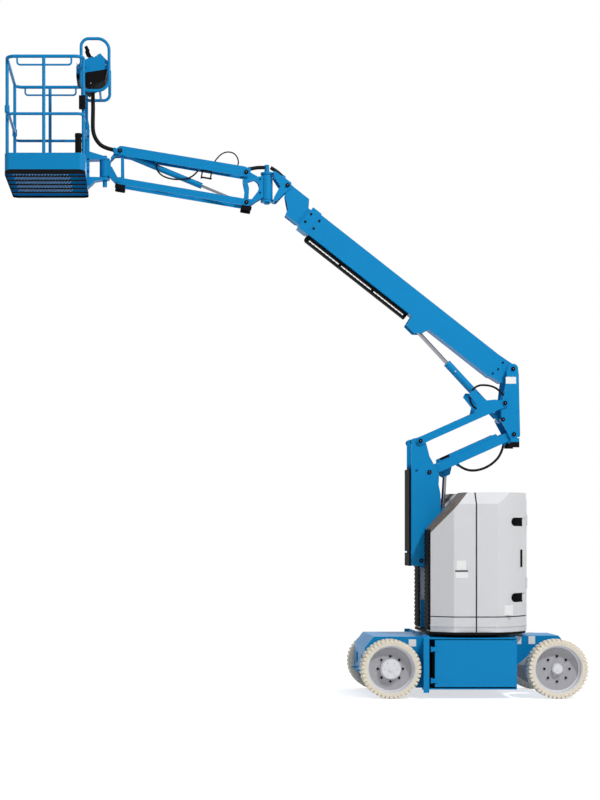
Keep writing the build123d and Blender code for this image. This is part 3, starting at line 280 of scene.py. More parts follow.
def pinReach(node, place, around=0.045):  # how far out the node stands round the pin
    near = [v.co.y for v in frame["nodes"][node].data.vertices if (v.co.xz - place.xz).length < around]
    return max(near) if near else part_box(node)[1].y


def startTree(name, inputs):
    tree = bpy.data.node_groups.new(name, "GeometryNodeTree")
    for label, kind in inputs.items():
        tree.interface.new_socket(label, in_out="INPUT", socket_type="NodeSocket" + kind)
    tree.interface.new_socket("Result", in_out="OUTPUT", socket_type="NodeSocketGeometry")
    return tree, addNode(tree, "NodeGroupInput", (-900, 0))


def endTree(tree, start, source):
    whole = addNode(tree, "GeometryNodeRealizeInstances", (600, 0), links={"Geometry": source})
    painted = addNode(tree, "GeometryNodeSetMaterial", (800, 0),
                      links={"Geometry": (whole, "Geometry"), "Material": (start, "Material")})
    addNode(tree, "NodeGroupOutput", (1000, 0), links={"Result": (painted, "Geometry")})
    return tree


headTaper = 0.86  # a bolt head's top as a share of its foot


def headsTree():  # a head on every point of the source, turned to the point's own direction
    tree, start = startTree("headsOnPoints", {
        "Points": "Geometry", "Radius": "Float", "Top": "Float", "Height": "Float", "Sides": "Int",
        "Material": "Material"})
    head = addNode(tree, "GeometryNodeMeshCone", (-500, -200), links={
        "Vertices": (start, "Sides"), "Radius Bottom": (start, "Radius"), "Radius Top": (start, "Top"),
        "Depth": (start, "Height")})
    facing = addNode(tree, "GeometryNodeInputNamedAttribute", (-700, 200), {
        "data_type": "FLOAT_VECTOR", "Name": "facing"})
    turn = addNode(tree, "FunctionNodeAlignRotationToVector", (-400, 200), {"axis": "Z"}, {
        "Vector": (facing, "Attribute")})
    placed = addNode(tree, "GeometryNodeInstanceOnPoints", (0, 0), links={
        "Points": (start, "Points"), "Instance": (head, "Mesh"), "Rotation": (turn, "Rotation")})
    return endTree(tree, start, (placed, "Instances"))


def ringTree():  # heads spaced evenly round a circle
    tree, start = startTree("headRing", {
        "Count": "Int", "PitchRadius": "Float", "Radius": "Float", "Height": "Float", "Sides": "Int",
        "Place": "Vector", "Turn": "Vector", "Material": "Material"})
    circle = addNode(tree, "GeometryNodeMeshCircle", (-600, 200), links={
        "Vertices": (start, "Count"), "Radius": (start, "PitchRadius")})
    top = addNode(tree, "ShaderNodeMath", (-600, -300), {"operation": "MULTIPLY", 1: headTaper}, {
        0: (start, "Radius")})
    head = addNode(tree, "GeometryNodeMeshCone", (-400, -200), links={
        "Vertices": (start, "Sides"), "Radius Bottom": (start, "Radius"), "Radius Top": (top, "Value"),
        "Depth": (start, "Height")})
    placed = addNode(tree, "GeometryNodeInstanceOnPoints", (0, 0), links={
        "Points": (circle, "Mesh"), "Instance": (head, "Mesh")})
    moved = addNode(tree, "GeometryNodeTransform", (300, 0), links={
        "Geometry": (placed, "Instances"), "Translation": (start, "Place"), "Rotation": (start, "Turn")})
    return endTree(tree, start, (moved, "Geometry"))


def gridTree():  # heads or cups in rows and columns
    tree, start = startTree("headGrid", {
        "Length": "Float", "Width": "Float", "Along": "Int", "Across": "Int", "Radius": "Float",
        "Top": "Float", "Height": "Float", "Sides": "Int", "Place": "Vector", "Turn": "Vector",
        "Material": "Material"})
    rows = addNode(tree, "GeometryNodeMeshGrid", (-500, 200), links={
        "Size X": (start, "Length"), "Size Y": (start, "Width"), "Vertices X": (start, "Along"),
        "Vertices Y": (start, "Across")})
    head = addNode(tree, "GeometryNodeMeshCone", (-500, -200), links={
        "Vertices": (start, "Sides"), "Radius Bottom": (start, "Radius"), "Radius Top": (start, "Top"),
        "Depth": (start, "Height")})
    placed = addNode(tree, "GeometryNodeInstanceOnPoints", (0, 0), links={
        "Points": (rows, "Mesh"), "Instance": (head, "Mesh")})
    moved = addNode(tree, "GeometryNodeTransform", (300, 0), links={
        "Geometry": (placed, "Instances"), "Translation": (start, "Place"), "Rotation": (start, "Turn")})
    return endTree(tree, start, (moved, "Geometry"))


def linksTree():  # boxes spaced along a line that lies in a plane of constant Y
    tree, start = startTree("linksOnLine", {
        "Line": "Geometry", "Pitch": "Float", "Size": "Vector", "Material": "Material"})
    line = addNode(tree, "GeometryNodeMeshToCurve", (-600, 100), links={"Mesh": (start, "Line")})
    spaced = addNode(tree, "GeometryNodeResampleCurve", (-400, 100), {"mode": "LENGTH"}, {
        "Curve": (line, "Curve"), "Length": (start, "Pitch")})
    tangent = addNode(tree, "GeometryNodeInputTangent", (-600, -100))
    turn = addNode(tree, "FunctionNodeAlignRotationToVector", (-300, -100), {
        "axis": "X", "pivot_axis": "Y"}, {"Vector": (tangent, "Tangent")})
    box = addNode(tree, "GeometryNodeMeshCube", (-300, -300), links={"Size": (start, "Size")})
    placed = addNode(tree, "GeometryNodeInstanceOnPoints", (0, 0), links={
        "Points": (spaced, "Curve"), "Instance": (box, "Mesh"), "Rotation": (turn, "Rotation")})
    return endTree(tree, start, (placed, "Instances"))


def treadTree():  # tread lugs round both shoulders of a tyre carcass
    tree, start = startTree("treadLugs", {
        "Carcass": "Geometry", "Count": "Int", "Radius": "Float", "Lug": "Vector", "Offset": "Float",
        "Place": "Vector", "Material": "Material"})
    both = addNode(tree, "GeometryNodeJoinGeometry", (300, 0))
    for side in (-1, 1):
        drop = 300 * side
        circle = addNode(tree, "GeometryNodeMeshCircle", (-700, drop), links={
            "Vertices": (start, "Count"), "Radius": (start, "Radius")})
        spot = addNode(tree, "GeometryNodeInputPosition", (-700, drop - 150))
        turn = addNode(tree, "FunctionNodeAlignRotationToVector", (-500, drop - 100), {
            "axis": "X", "pivot_axis": "Z"}, {"Vector": (spot, "Position")})
        lug = addNode(tree, "GeometryNodeMeshCube", (-500, drop + 100), links={"Size": (start, "Lug")})
        ring = addNode(tree, "GeometryNodeInstanceOnPoints", (-300, drop), links={
            "Points": (circle, "Mesh"), "Instance": (lug, "Mesh"), "Rotation": (turn, "Rotation")})
        shift = addNode(tree, "ShaderNodeMath", (-500, drop + 250), {
            "operation": "MULTIPLY", 1: float(side)}, {0: (start, "Offset")})
        half = addNode(tree, "ShaderNodeMath", (-500, drop + 350), {
            "operation": "DIVIDE", 0: math.pi * (side + 1) / 2}, {1: (start, "Count")})  # half a pitch on
        aside = addNode(tree, "ShaderNodeCombineXYZ", (-300, drop + 250), links={"Z": (shift, "Value")})
        step = addNode(tree, "ShaderNodeCombineXYZ", (-300, drop + 350), links={"Z": (half, "Value")})
        moved = addNode(tree, "GeometryNodeTransform", (-100, drop), links={
            "Geometry": (ring, "Instances"), "Translation": (aside, "Vector"), "Rotation": (step, "Vector")})
        stood = addNode(tree, "GeometryNodeTransform", (100, drop), {"Rotation": (math.pi / 2, 0, 0)}, {
            "Geometry": (moved, "Geometry"), "Translation": (start, "Place")})
        tree.links.new(stood.outputs["Geometry"], both.inputs["Geometry"])
    tree.links.new(start.outputs["Carcass"], both.inputs["Geometry"])
    return endTree(tree, start, (both, "Geometry"))


trees = dict(heads=headsTree(), ring=ringTree(), grid=gridTree(), links=linksTree(), tread=treadTree())
print("trees", len(trees))


def grow(name, tree, body, slotName, material, source=None, **inputs):
    carrier = bpy.data.objects.new(name + "Seed", source or bpy.data.meshes.new(name + "Seed"))
    bpy.context.collection.objects.link(carrier)
    modifier = carrier.modifiers.new("grow", "NODES")
    modifier.node_group = trees[tree]
    wanted = {key[0].upper() + key[1:]: value for key, value in inputs.items()}
    wanted["Material"] = materials[material]
    for socket in trees[tree].interface.items_tree:
        if socket.in_out == "INPUT" and socket.name in wanted:
            modifier[socket.identifier] = wanted[socket.name]
    grown = carrier.evaluated_get(bpy.context.evaluated_depsgraph_get())
    mesh = bpy.data.meshes.new_from_object(grown)
    bpy.data.objects.remove(carrier)
    mesh.name = name
    return finishPiece(name, mesh, body)


def pointCloud(spots):  # spots are (place, direction) pairs
    mesh = bpy.data.meshes.new("spots")
    mesh.from_pydata([spot for spot, way in spots], [], [])
    facing = mesh.attributes.new("facing", "FLOAT_VECTOR", "POINT")
    facing.data.foreach_set("vector", [value for spot, way in spots for value in way])
    return mesh


# tyres: carcass a lug's depth below the tread, lugs out to the full size
tyreLook = dict(lugs=42, lugDepth=0.0115, lugLength=0.027, side=0.0045, wrap=0.034, steps=84,
                shoulder=(0.010, 0.016), lugShare=0.90, gap=0.0003, crownGap=0.0010)


def carcass(name, place, half, crown, bead):
    side, low = half - tyreLook["side"], crown - tyreLook["lugDepth"]
    inward, down = tyreLook["shoulder"]
    outline = [(-side, bead), (-side, low - down), (-side + inward, low),
               (side - inward, low), (side, low - down), (side, bead)]
    shape = bmesh.new()
    rings = []
    for step in range(tyreLook["steps"]):
        angle = math.tau * step / tyreLook["steps"]
        sine, cosine = math.sin(angle), math.cos(angle)
        rings.append([shape.verts.new(place + Vector((r * sine, y, r * cosine))) for y, r in outline])
    for step, ring in enumerate(rings):
        after = rings[(step + 1) % len(rings)]
        for index in range(len(outline)):
            other = (index + 1) % len(outline)
            shape.faces.new((ring[index], ring[other], after[other], after[index]))
    return toMesh(name, shape)


def dressWheel(axle, side):
    node, body = f"tyre_{axle}_{side}", f"wheel_{axle}_{side}"
    low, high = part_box(node)
    place = (low + high) / 2
    half, crown = (high.y - low.y) / 2, (high.z - low.z) / 2
    rimLow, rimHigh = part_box(f"rim_{axle}_{side}")
    bead = (rimHigh.z - rimLow.z) / 2 + tyreLook["gap"]
    lug = (tyreLook["wrap"], tyreLook["lugLength"], half * tyreLook["lugShare"])
    bare = carcass(node + "Carcass", place, half, crown, bead)
    piece = grow(f"tread_{axle}_{side}", "tread", body, "tyre_white", "nonMarkingRubber", source=bare,
                 count=tyreLook["lugs"], radius=crown - tyreLook["crownGap"] - tyreLook["wrap"] / 2, lug=lug,
                 offset=half - tyreLook["gap"] - lug[2] / 2, place=place)
    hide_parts(node)


# wheels: nuts round the disc, small screws and a stepped cap on the hub
wheelLook = dict(nuts=8, nutPitch=0.119, nut=0.0125, nutHeight=0.012,
                 screws=6, screwPitch=0.062, screw=0.006, screwHeight=0.004, hub=0.045)
hubSteps = [(-0.004, 0.007, 0.030, 0.026, 28), (0.0, 0.012, 0.015, 0.013, 20)]  # from, to, radii, sides


def dressHub(axle, side):
    out = -1 if side == "left" else 1
    body, rim = f"wheel_{axle}_{side}", f"rim_{axle}_{side}"
    place = (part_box(rim)[0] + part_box(rim)[1]) / 2
    turn = (-out * math.pi / 2, 0, 0)
    disc = faceAt(rim, place.x + wheelLook["nutPitch"], place.z, out)
    grow(f"wheel_nuts_{axle}_{side}", "ring", body, "black_steel", "blackPrimer", count=wheelLook["nuts"],
         pitchRadius=wheelLook["nutPitch"], radius=wheelLook["nut"], height=wheelLook["nutHeight"], sides=6,
         place=(place.x, disc, place.z), turn=turn)
    hub = faceAt(rim, place.x + wheelLook["hub"], place.z, out)
    grow(f"hub_screws_{axle}_{side}", "ring", body, None, "zincSteel", count=wheelLook["screws"],
         pitchRadius=wheelLook["screwPitch"], radius=wheelLook["screw"], height=wheelLook["screwHeight"],
         sides=6, place=(place.x, hub, place.z), turn=turn)
    shape = bmesh.new()
    for start, end, foot, top, sides in hubSteps:
        near, far = (place.x, hub + out * start, place.z), (place.x, hub + out * end, place.z)
        addRod(shape, near, far, foot, top, sides)
    closeShape(f"hub_cap_{axle}_{side}", shape, body, "wheelSilver")


for axle, side in (("drive", "left"), ("drive", "right"), ("steer", "left"), ("steer", "right")):
    dressWheel(axle, side)
    dressHub(axle, side)
print("wheels")

# pin caps with a grease nipple in the middle: place, node that carries the pin, body
linkStep = pins["lower_link"] - pins["riser_lift"]
headStep = pins["upper_link"] - pins["upper_arm"]
pinTable = [
    ("lower_arm_foot", pins["riser_lift"], "turntable_frame", "turntable"),
    ("lower_link_foot", pins["lower_link"], "turntable_frame", "turntable"),
    ("mid_arm", pins["mid_column"], "mid_column", "mid_column"),
    ("mid_link", pins["mid_column"] + linkStep, "mid_column", "mid_column"),
    ("mid_upper_arm", pins["upper_arm"], "mid_column", "mid_column"),
    ("mid_upper_link", pins["upper_link"], "mid_column", "mid_column"),
    ("column_arm", pins["upper_column"], "upper_column", "upper_column"),
    ("column_link", pins["upper_column"] + headStep, "upper_column", "upper_column"),
    ("boom_foot", pins["boom_lift"], "upper_column", "upper_column"),
    ("lift_foot", pins["lift_barrel"], "upper_column", "upper_column"),
    ("jib_foot", pins["jib_lift"], "jib_pivot", "jib_pivot"),
    ("jib_tip", pins["jib_head"], "jib_arm", "jib_arm"),
    ("jib_link_foot", pins["jib_link"], "jib_link", "jib_link"),
    ("nose", pins["yoke"], "yoke", "yoke"),
]
pinLook = dict(cap=0.021, capTop=0.018, capHeight=0.0045, nipple=0.005, nippleTop=0.003, nippleHeight=0.010)

for name, place, node, body in pinTable:
    reach = pinReach(node, place)
    ends = [(Vector((place.x, side * reach, place.z)), Vector((0, side, 0))) for side in (-1, 1)]
    grow(f"pin_cap_{name}", "heads", body, "black_steel", "blackPrimer", source=pointCloud(ends),
         radius=pinLook["cap"], top=pinLook["capTop"], height=pinLook["capHeight"], sides=24)
    raised = [(spot + way * pinLook["capHeight"], way) for spot, way in ends]
    if name != "mid_link":  # that pin passes the front guards closely when stowed
        grow(f"nipple_{name}", "heads", body, None, "zincSteel", source=pointCloud(raised),
             radius=pinLook["nipple"], top=pinLook["nippleTop"], height=pinLook["nippleHeight"], sides=8)
print("pins", len(pinTable))

# energy chain under the boom: ribs of its links along the plain track's underside, clamps right round it
trackLook = dict(pitch=0.042, rib=0.007, proud=0.0016, runDepth=0.018, clampPitch=0.39, clamp=0.030, end=0.02)
trackLow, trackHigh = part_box("cable_track")
run = axes["boom_extend"].normalized()
wide, tall = trackHigh.x - trackLow.x, trackHigh.z - trackLow.z
trackLength = (wide * abs(run.x) - tall * run.z) / (run.x ** 2 - run.z ** 2)
trackDepth = (tall - trackLength * run.z) / abs(run.x)
middle = (trackLow + trackHigh) / 2
halfRun = run * (trackLength / 2 - trackLook["end"])
line = bpy.data.meshes.new("trackLine")
line.from_pydata([middle - halfRun, middle + halfRun], [(0, 1)], [])
across = trackHigh.y - trackLow.y + 2 * trackLook["proud"]
clampSize = (trackLook["clamp"], across, trackDepth + 2 * trackLook["proud"])
ribSize = (trackLook["rib"], across, trackLook["runDepth"] + 2 * trackLook["proud"])
grow("track_clamps", "links", "outer_boom", "black_plastic", "mouldedBlack", source=line.copy(),
     pitch=trackLook["clampPitch"], size=clampSize)
under = Vector((run.z, 0, -run.x)) * (trackDepth / 2 - trackLook["runDepth"] / 2)
line.transform(Matrix.Translation(under if under.z < 0 else -under))
grow("track_links", "links", "outer_boom", "black_plastic", "mouldedBlack", source=line,
     pitch=trackLook["pitch"], size=ribSize)
print("track", round(trackLength, 3), round(trackDepth, 3))

# platform deck: raised grip cups on top, small dark discs standing for punched holes on the underside
deckLook = dict(cup=0.011, cupTop=0.008, cupHeight=0.0016, pitch=0.05, margin=0.16,
                hole=0.010, holeHeight=0.0015, holePitch=0.034, probe=0.10)
discTaper = 0.9  # top of a flat disc as a share of its foot
deckLowCorner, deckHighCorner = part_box("platform_frame")
deckLong = deckHighCorner.x - deckLowCorner.x - deckLook["margin"]
deckWide = deckHighCorner.y - deckLowCorner.y - deckLook["margin"]
deckMiddle = (deckLowCorner + deckHighCorner) / 2
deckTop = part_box("platform_rails")[0].z
grow("deck_grip", "grid", "platform", "black_steel", "zincSteel", length=deckLong, width=deckWide,
     along=round(deckLong / deckLook["pitch"]), across=round(deckWide / deckLook["pitch"]),
     radius=deckLook["cup"], top=deckLook["cupTop"], height=deckLook["cupHeight"], sides=10,
     place=(deckMiddle.x, 0, deckTop), turn=(0, 0, 0))
sheetLow = hitAt("platform_frame", (deckMiddle.x, deckLook["probe"], 0), (0, 0, 1)).z
grow("deck_holes", "grid", "platform", "black_steel", "blackPrimer", length=deckLong, width=deckWide,
     along=round(deckLong / deckLook["holePitch"]), across=round(deckWide / deckLook["holePitch"]),
     radius=deckLook["hole"], top=deckLook["hole"] * discTaper, height=deckLook["holeHeight"], sides=8,
     place=(deckMiddle.x, 0, sheetLow), turn=(math.pi, 0, 0))

# floor beams: small pale discs standing for holes, in two staggered rows along both sides of each beam
beamLook = dict(pitch=0.030, hole=0.0060, lift=0.0006, rows=(0.029, 0.041), apart=0.195, half=0.0151,
                start=0.075, end=0.12)
deckFrom, deckTo = deckLowCorner.x + beamLook["start"], deckHighCorner.x - beamLook["end"]
spots = []
for beam in (-2, -1, 0, 1, 2):
    for side in (-1, 1):
        for row, up in enumerate(beamLook["rows"]):
            for step in range(int((deckTo - deckFrom) / beamLook["pitch"])):
                x = deckFrom + (step + row / 2) * beamLook["pitch"]
                face = Vector((x, beam * beamLook["apart"] + side * beamLook["half"], deckLow + up))
                spots.append((face, Vector((0, side, 0))))
grow("beam_holes", "heads", "platform", None, "whiteVinyl", source=pointCloud(spots), radius=beamLook["hole"],
     top=beamLook["hole"] * discTaper, height=beamLook["lift"], sides=8)
print("deck")


def cordPiece(name, body, points, diameter):
    curve = bpy.data.curves.new(name, "CURVE")
    curve.dimensions = "3D"
    curve.bevel_depth = diameter / 2
    curve.bevel_resolution = 4
    curve.resolution_u = 10
    spline = curve.splines.new("NURBS")
    spline.points.add(len(points) - 1)
    for knot, spot in zip(spline.points, points):
        knot.co = (*spot, 1.0)
    spline.order_u = 3
    spline.use_endpoint_u = True
    piece = finishPiece(name, curve, body, "nitrileHose")
    if name.endswith("_line"):
        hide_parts(name.replace("_line", ""))


def fromPin(pin, places, y):  # places are millimetres from the pin, along x and up
    return [(pin.x + x / 1000, y / 1000, pin.z + z / 1000) for x, z in places]


# platform cable and jib hose: millimetres from the pin at the jib's outer end
head = pins["jib_head"]
cableRun = [(-266, 574), (-262, 440), (-266, 300), (-264, 192), (-226, 106), (-158, 44), (-66, 24)]
cordPiece("platform_cable_line", "platform", fromPin(head, cableRun, 0), 0.040)
jibRun = [(352, -115), (352, -175), (400, -235), (480, -266),
          (560, -275), (640, -268), (716, -238), (760, -184)]
cordPiece("jib_hose_line", "jib_arm", fromPin(head, jibRun, -46), 0.016)

# riser hose: millimetres along the upper arm from its foot, and across it
armFoot = pins["upper_arm"]
armRun = (pins["upper_column"] - armFoot).normalized()
armUp = Vector((-armRun.z, 0, armRun.x))
armSide = Vector((0, -0.070, 0))
riserRun = [(300, -62), (335, -118), (400, -163), (485, -186),
            (575, -184), (660, -160), (728, -115), (772, -62)]
riserSpots = [armFoot + armRun * along / 1000 + armUp * up / 1000 + armSide for along, up in riserRun]
cordPiece("riser_hose_line", "upper_arm", riserSpots, 0.024)

# coiled hose on the riser head: a tail, most of one turn, and the end behind the column
coilLook = dict(centre=(-205.2, 56.4), radius=128, start=72, stop=289, step=36)
columnLink = pins["upper_column"] + headStep
turns = [math.radians(angle) for angle in range(coilLook["start"], coilLook["stop"], coilLook["step"])]
loop = [(coilLook["centre"][0] + coilLook["radius"] * math.cos(angle),
         coilLook["centre"][1] + coilLook["radius"] * math.sin(angle)) for angle in turns]
coilRun = [(8, 76), (-52, 136), (-108, 166)] + loop + [(-85, -58), (-22, -42)]
cordPiece("coil_hose_line", "upper_column", fromPin(columnLink, coilRun, -106), 0.020)

# thin loop over the jib's foot, in metres
tipRun = [(-0.745, 5.158), (-0.700, 5.222), (-0.630, 5.262), (-0.550, 5.250),
          (-0.508, 5.185), (-0.512, 5.125), (-0.535, 5.110)]
cordPiece("tip_loop", "jib_arm", [(x, -0.030, z) for x, z in tipRun], 0.013)
print("hoses")

# blank vinyl plates: node they lie on, body, x and z ranges
plateLook = dict(thick=0.0016, out=0.0004)
plateTable = {
    "plate_chassis_front": ("chassis_frame", "chassis", (1.087, 1.157), (0.482, 0.550)),
    "plate_chassis_middle": ("chassis_frame", "chassis", (2.135, 2.194), (0.494, 0.570)),
    "plate_chassis_rear": ("chassis_frame", "chassis", (2.262, 2.326), (0.494, 0.570)),
    "plate_cover_upper": ("front_cover_left", "turntable", (1.512, 1.599), (1.216, 1.300)),
    "plate_cover_lower": ("front_cover_left", "turntable", (1.502, 1.618), (1.137, 1.190)),
    "plate_door": ("door_left", "door_left", (1.895, 2.050), (0.785, 0.880)),
    "plate_column": ("upper_column", "upper_column", (2.061, 2.160), (2.998, 3.064)),
}
for name, (node, body, (left, right), (low, high)) in plateTable.items():
    middle = ((left + right) / 2, (low + high) / 2)
    spot = (middle[0], faceAt(node, *middle) - plateLook["out"], middle[1])
    shape = bmesh.new()
    addBox(shape, spot, (right - left, plateLook["thick"], high - low))
    closeShape(name, shape, body, "whiteVinyl")

# cover: moulded latch strip between its two plates
latchLook = dict(probe=1.560, x=1.558, z=1.203, out=0.001, size=(0.120, 0.006, 0.011), edge=0.0015)
coverFace = faceAt("front_cover_left", latchLook["probe"], latchLook["z"])
shape = bmesh.new()
latchSpot = (latchLook["x"], coverFace - latchLook["out"], latchLook["z"])
addBox(shape, latchSpot, latchLook["size"], edge=latchLook["edge"])
closeShape("cover_latch", shape, "turntable", "mouldedBlack")
print("plates", len(plateTable))

# black liners in the doors' moulded pockets and latch slots, laid on the door's own surface:
# x from, x to, z from, z to, and whether the first end is rounded
pocketTable = {
    "pocket_low": (2.047, 2.183, 0.905, 0.990, True),
    "pocket_high": (2.047, 2.183, 1.625, 1.705, True),
    "latch_slot": (2.150, 2.180, 1.235, 1.402, False),
}
linerLook = dict(columns=18, rows=6, closer=1.5, least=0.02, out=0.0012, thick=0.0008)


def layLiner(name, node, body, side, start, end, low, high, rounded):
    shape = bmesh.new()
    radius, middle = (high - low) / 2, (high + low) / 2
    columns, rows = linerLook["columns"], linerLook["rows"]
    grid = []
    for column in range(columns + 1):  # closer together at the first end
        x = start + (end - start) * (column / columns) ** linerLook["closer"]
        short = max(0.0, 1 - (x - start) / radius) if rounded else 0.0
        half = radius * math.sqrt(max(linerLook["least"], 1 - short * short))
        heights = [middle + half * (2 * row / rows - 1) for row in range(rows + 1)]
        places = [(x, faceAt(node, x, z, side) + side * linerLook["out"], z) for z in heights]
        grid.append([shape.verts.new(spot) for spot in places])
    for near, far in zip(grid, grid[1:]):
        for row in range(rows):
            corners = (near[row], far[row], far[row + 1], near[row + 1])
            shape.faces.new(corners if side < 0 else corners[::-1])
    bmesh.ops.solidify(shape, geom=shape.faces[:], thickness=linerLook["thick"])
    closeShape(name, shape, body, "mouldedBlack")


for name, ranges in pocketTable.items():
    for side, hand in ((-1, "left"), (1, "right")):
        layLiner(f"{name}_{hand}", f"door_{hand}", f"door_{hand}", side, *ranges)
print("liners")

# jib: hose bracket under the arm, made of two posts and two bars: x and z from its middle, width, height
bracketLook = dict(share=0.315, place=(0, -0.056, -0.086), deep=0.024, edge=0.002)
bracketBars = [(-0.045, 0, 0.014, 0.078), (0.045, 0, 0.014, 0.078),
               (0, -0.034, 0.104, 0.013), (0, 0.032, 0.104, 0.014)]
jibFoot, jibTip = pins["jib_lift"], pins["jib_head"]
jibTurn = math.atan2(jibTip.z - jibFoot.z, jibFoot.x - jibTip.x)
bracket = jibFoot + (jibTip - jibFoot) * bracketLook["share"] + Vector(bracketLook["place"])
shape = bmesh.new()
for x, z, wide, tall in bracketBars:
    size = (wide, bracketLook["deep"], tall)
    addBox(shape, bracket + Vector((x, 0, z)), size, jibTurn, bracketLook["edge"])
closeShape("hose_bracket", shape, "jib_arm", "blackPrimer")

# rubber bumpers below both ends of the jib's lower bar
bumperLook = dict(y=0.0915, below=0.052, size=(0.100, 0.024, 0.042), edge=0.010)
shape = bmesh.new()
for place in (pins["jib_link"], pins["jib_link"] + jibTip - jibFoot):
    for y in (-bumperLook["y"], bumperLook["y"]):
        spot = place + Vector((0, y, -bumperLook["below"]))
        addBox(shape, spot, bumperLook["size"], jibTurn, bumperLook["edge"])
closeShape("link_bumpers", shape, "jib_link", "mouldedBlack")

# slot cover on the riser's upper arm
slotLook = dict(x=1.480, z=2.290, size=(0.095, 0.006, 0.024), edge=0.002)
armTurn = math.atan2(pins["upper_column"].z - armFoot.z, pins["upper_column"].x - armFoot.x)
slotSpot = (slotLook["x"], faceAt("upper_arm", slotLook["x"], slotLook["z"]), slotLook["z"])
shape = bmesh.new()
addBox(shape, slotSpot, slotLook["size"], -armTurn, slotLook["edge"])
closeShape("arm_slot_cover", shape, "upper_arm", "blackPrimer")
print("trim")

# control box: two joysticks; each rod of one goes from, to (x and z above the panel's foot), with its radii
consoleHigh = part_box("console")[1]
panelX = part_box("platform_frame")[1].x
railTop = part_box("platform_rails")[1].z - 0.016  # middle of the top rail's tube
stickLook = dict(rows=(-0.085, 0.075), x=0.050, z=0.101)
stickRods = [
    ((0, 0), (-0.010, 0.022), 0.030, 0.020),  # rubber boot
    ((-0.008, 0.016), (-0.046, 0.094), 0.010, 0.010),
    ((-0.038, 0.076), (-0.060, 0.126), 0.0185, 0.016),  # grip
]
shape = bmesh.new()
for y in stickLook["rows"]:
    stick = Vector((panelX + stickLook["x"], y, railTop + stickLook["z"]))
    for (x, z), (endX, endZ), foot, top in stickRods:
        addRod(shape, stick + Vector((x, 0, z)), stick + Vector((endX, 0, endZ)), foot, top)
closeShape("joysticks", shape, "platform", "mouldedBlack")

# sloping panel: switches with levers, stop button and lamps, at distances up the slope and across it
panelLook = dict(slope=math.atan2(0.055, 0.068), foot=(-0.100, 0.016), rows=(0.022, 0.052),
                 switches=(-0.13, -0.09, -0.05, -0.01, 0.03), leverUp=0.008, leverLean=0.2,
                 stop=(0.040, 0.105), lampRow=0.074, lamps=(-0.11, -0.07, -0.03))
switchLook = dict(radius=0.009, top=0.007, height=0.010, sides=12)
leverLook = dict(radius=0.003, top=0.004, height=0.020, sides=8)
lampLook = dict(radius=0.006, top=0.004, height=0.005, sides=12)
stopRods = [(0, 0.016, 0.012, 0.012, 20), (0.014, 0.028, 0.022, 0.019, 28)]  # from, to, radii, sides
slopeWay = Vector((-math.sin(panelLook["slope"]), 0, math.cos(panelLook["slope"])))
slopeRun = Vector((math.cos(panelLook["slope"]), 0, math.sin(panelLook["slope"])))
slopeFoot = Vector((panelX + panelLook["foot"][0], 0, railTop + panelLook["foot"][1]))


def onPanel(along, y):
    return slopeFoot + slopeRun * along + Vector((0, y, 0))


switches = [(onPanel(along, y), slopeWay) for along in panelLook["rows"] for y in panelLook["switches"]]
leverWay = slopeWay + Vector((panelLook["leverLean"], 0, 0))
levers = [(spot + way * panelLook["leverUp"], leverWay) for spot, way in switches]
lampSpots = [(onPanel(panelLook["lampRow"], y), slopeWay) for y in panelLook["lamps"]]
grow("switches", "heads", "platform", "black_plastic", "mouldedBlack", source=pointCloud(switches),
     **switchLook)
grow("switch_levers", "heads", "platform", None, "zincSteel", source=pointCloud(levers), **leverLook)
stopSpot = onPanel(*panelLook["stop"])
shape = bmesh.new()
for start, end, foot, top, sides in stopRods:
    addRod(shape, stopSpot + slopeWay * start, stopSpot + slopeWay * end, foot, top, sides)
closeShape("stop_button", shape, "platform", "redPhenolic")
grow("lamps", "heads", "platform", "black_plastic", "amberLens", source=pointCloud(lampSpots), **lampLook)

# screws on both side plates of the control box: x and z from the panel's foot
screwLook = dict(radius=0.006, top=0.005, height=0.004, sides=6)
screwPlaces = [(-0.080, 0.0), (0.100, 0.112), (0.185, 0.030), (0.040, -0.150)]
screws = [(Vector((panelX + x, side * consoleHigh.y, railTop + z)), Vector((0, side, 0)))
          for side in (-1, 1) for x, z in screwPlaces]
grow("console_screws", "heads", "platform", None, "zincSteel", source=pointCloud(screws), **screwLook)

# document tube with its lid and a foot bracket
tubeLook = dict(place=(-0.068, -0.50, 0.165), tube=(0, 0.179, 0.0305), lid=(0.150, 0.182, 0.0325),
                bracket=(0.020, 0.010, 0.030), size=(0.050, 0.020, 0.012), edge=0.002)
tube = Vector((panelX, 0, deckTop)) + Vector(tubeLook["place"])
shape = bmesh.new()
for start, end, radius in (tubeLook["tube"], tubeLook["lid"]):
    addRod(shape, tube + Vector((0, 0, start)), tube + Vector((0, 0, end)), radius, sides=24)
addBox(shape, tube + Vector(tubeLook["bracket"]), tubeLook["size"], edge=tubeLook["edge"])
closeShape("document_tube", shape, "platform", "mouldedBlack")

# socket box below the control box, with a round lid
socketLook = dict(x=-0.030, y=-0.545, z=-0.429, size=(0.060, 0.060, 0.122), edge=0.004,
                  lid=(-0.570, -0.580), lidZ=-0.445, lidRadius=0.020)
socketX = panelX + socketLook["x"]
lidEnds = [(socketX, y, railTop + socketLook["lidZ"]) for y in socketLook["lid"]]
shape = bmesh.new()
socketSpot = (socketX, socketLook["y"], railTop + socketLook["z"])
addBox(shape, socketSpot, socketLook["size"], edge=socketLook["edge"])
addRod(shape, *lidEnds, socketLook["lidRadius"])
closeShape("socket_box", shape, "platform", "mouldedBlack")
print("controls")

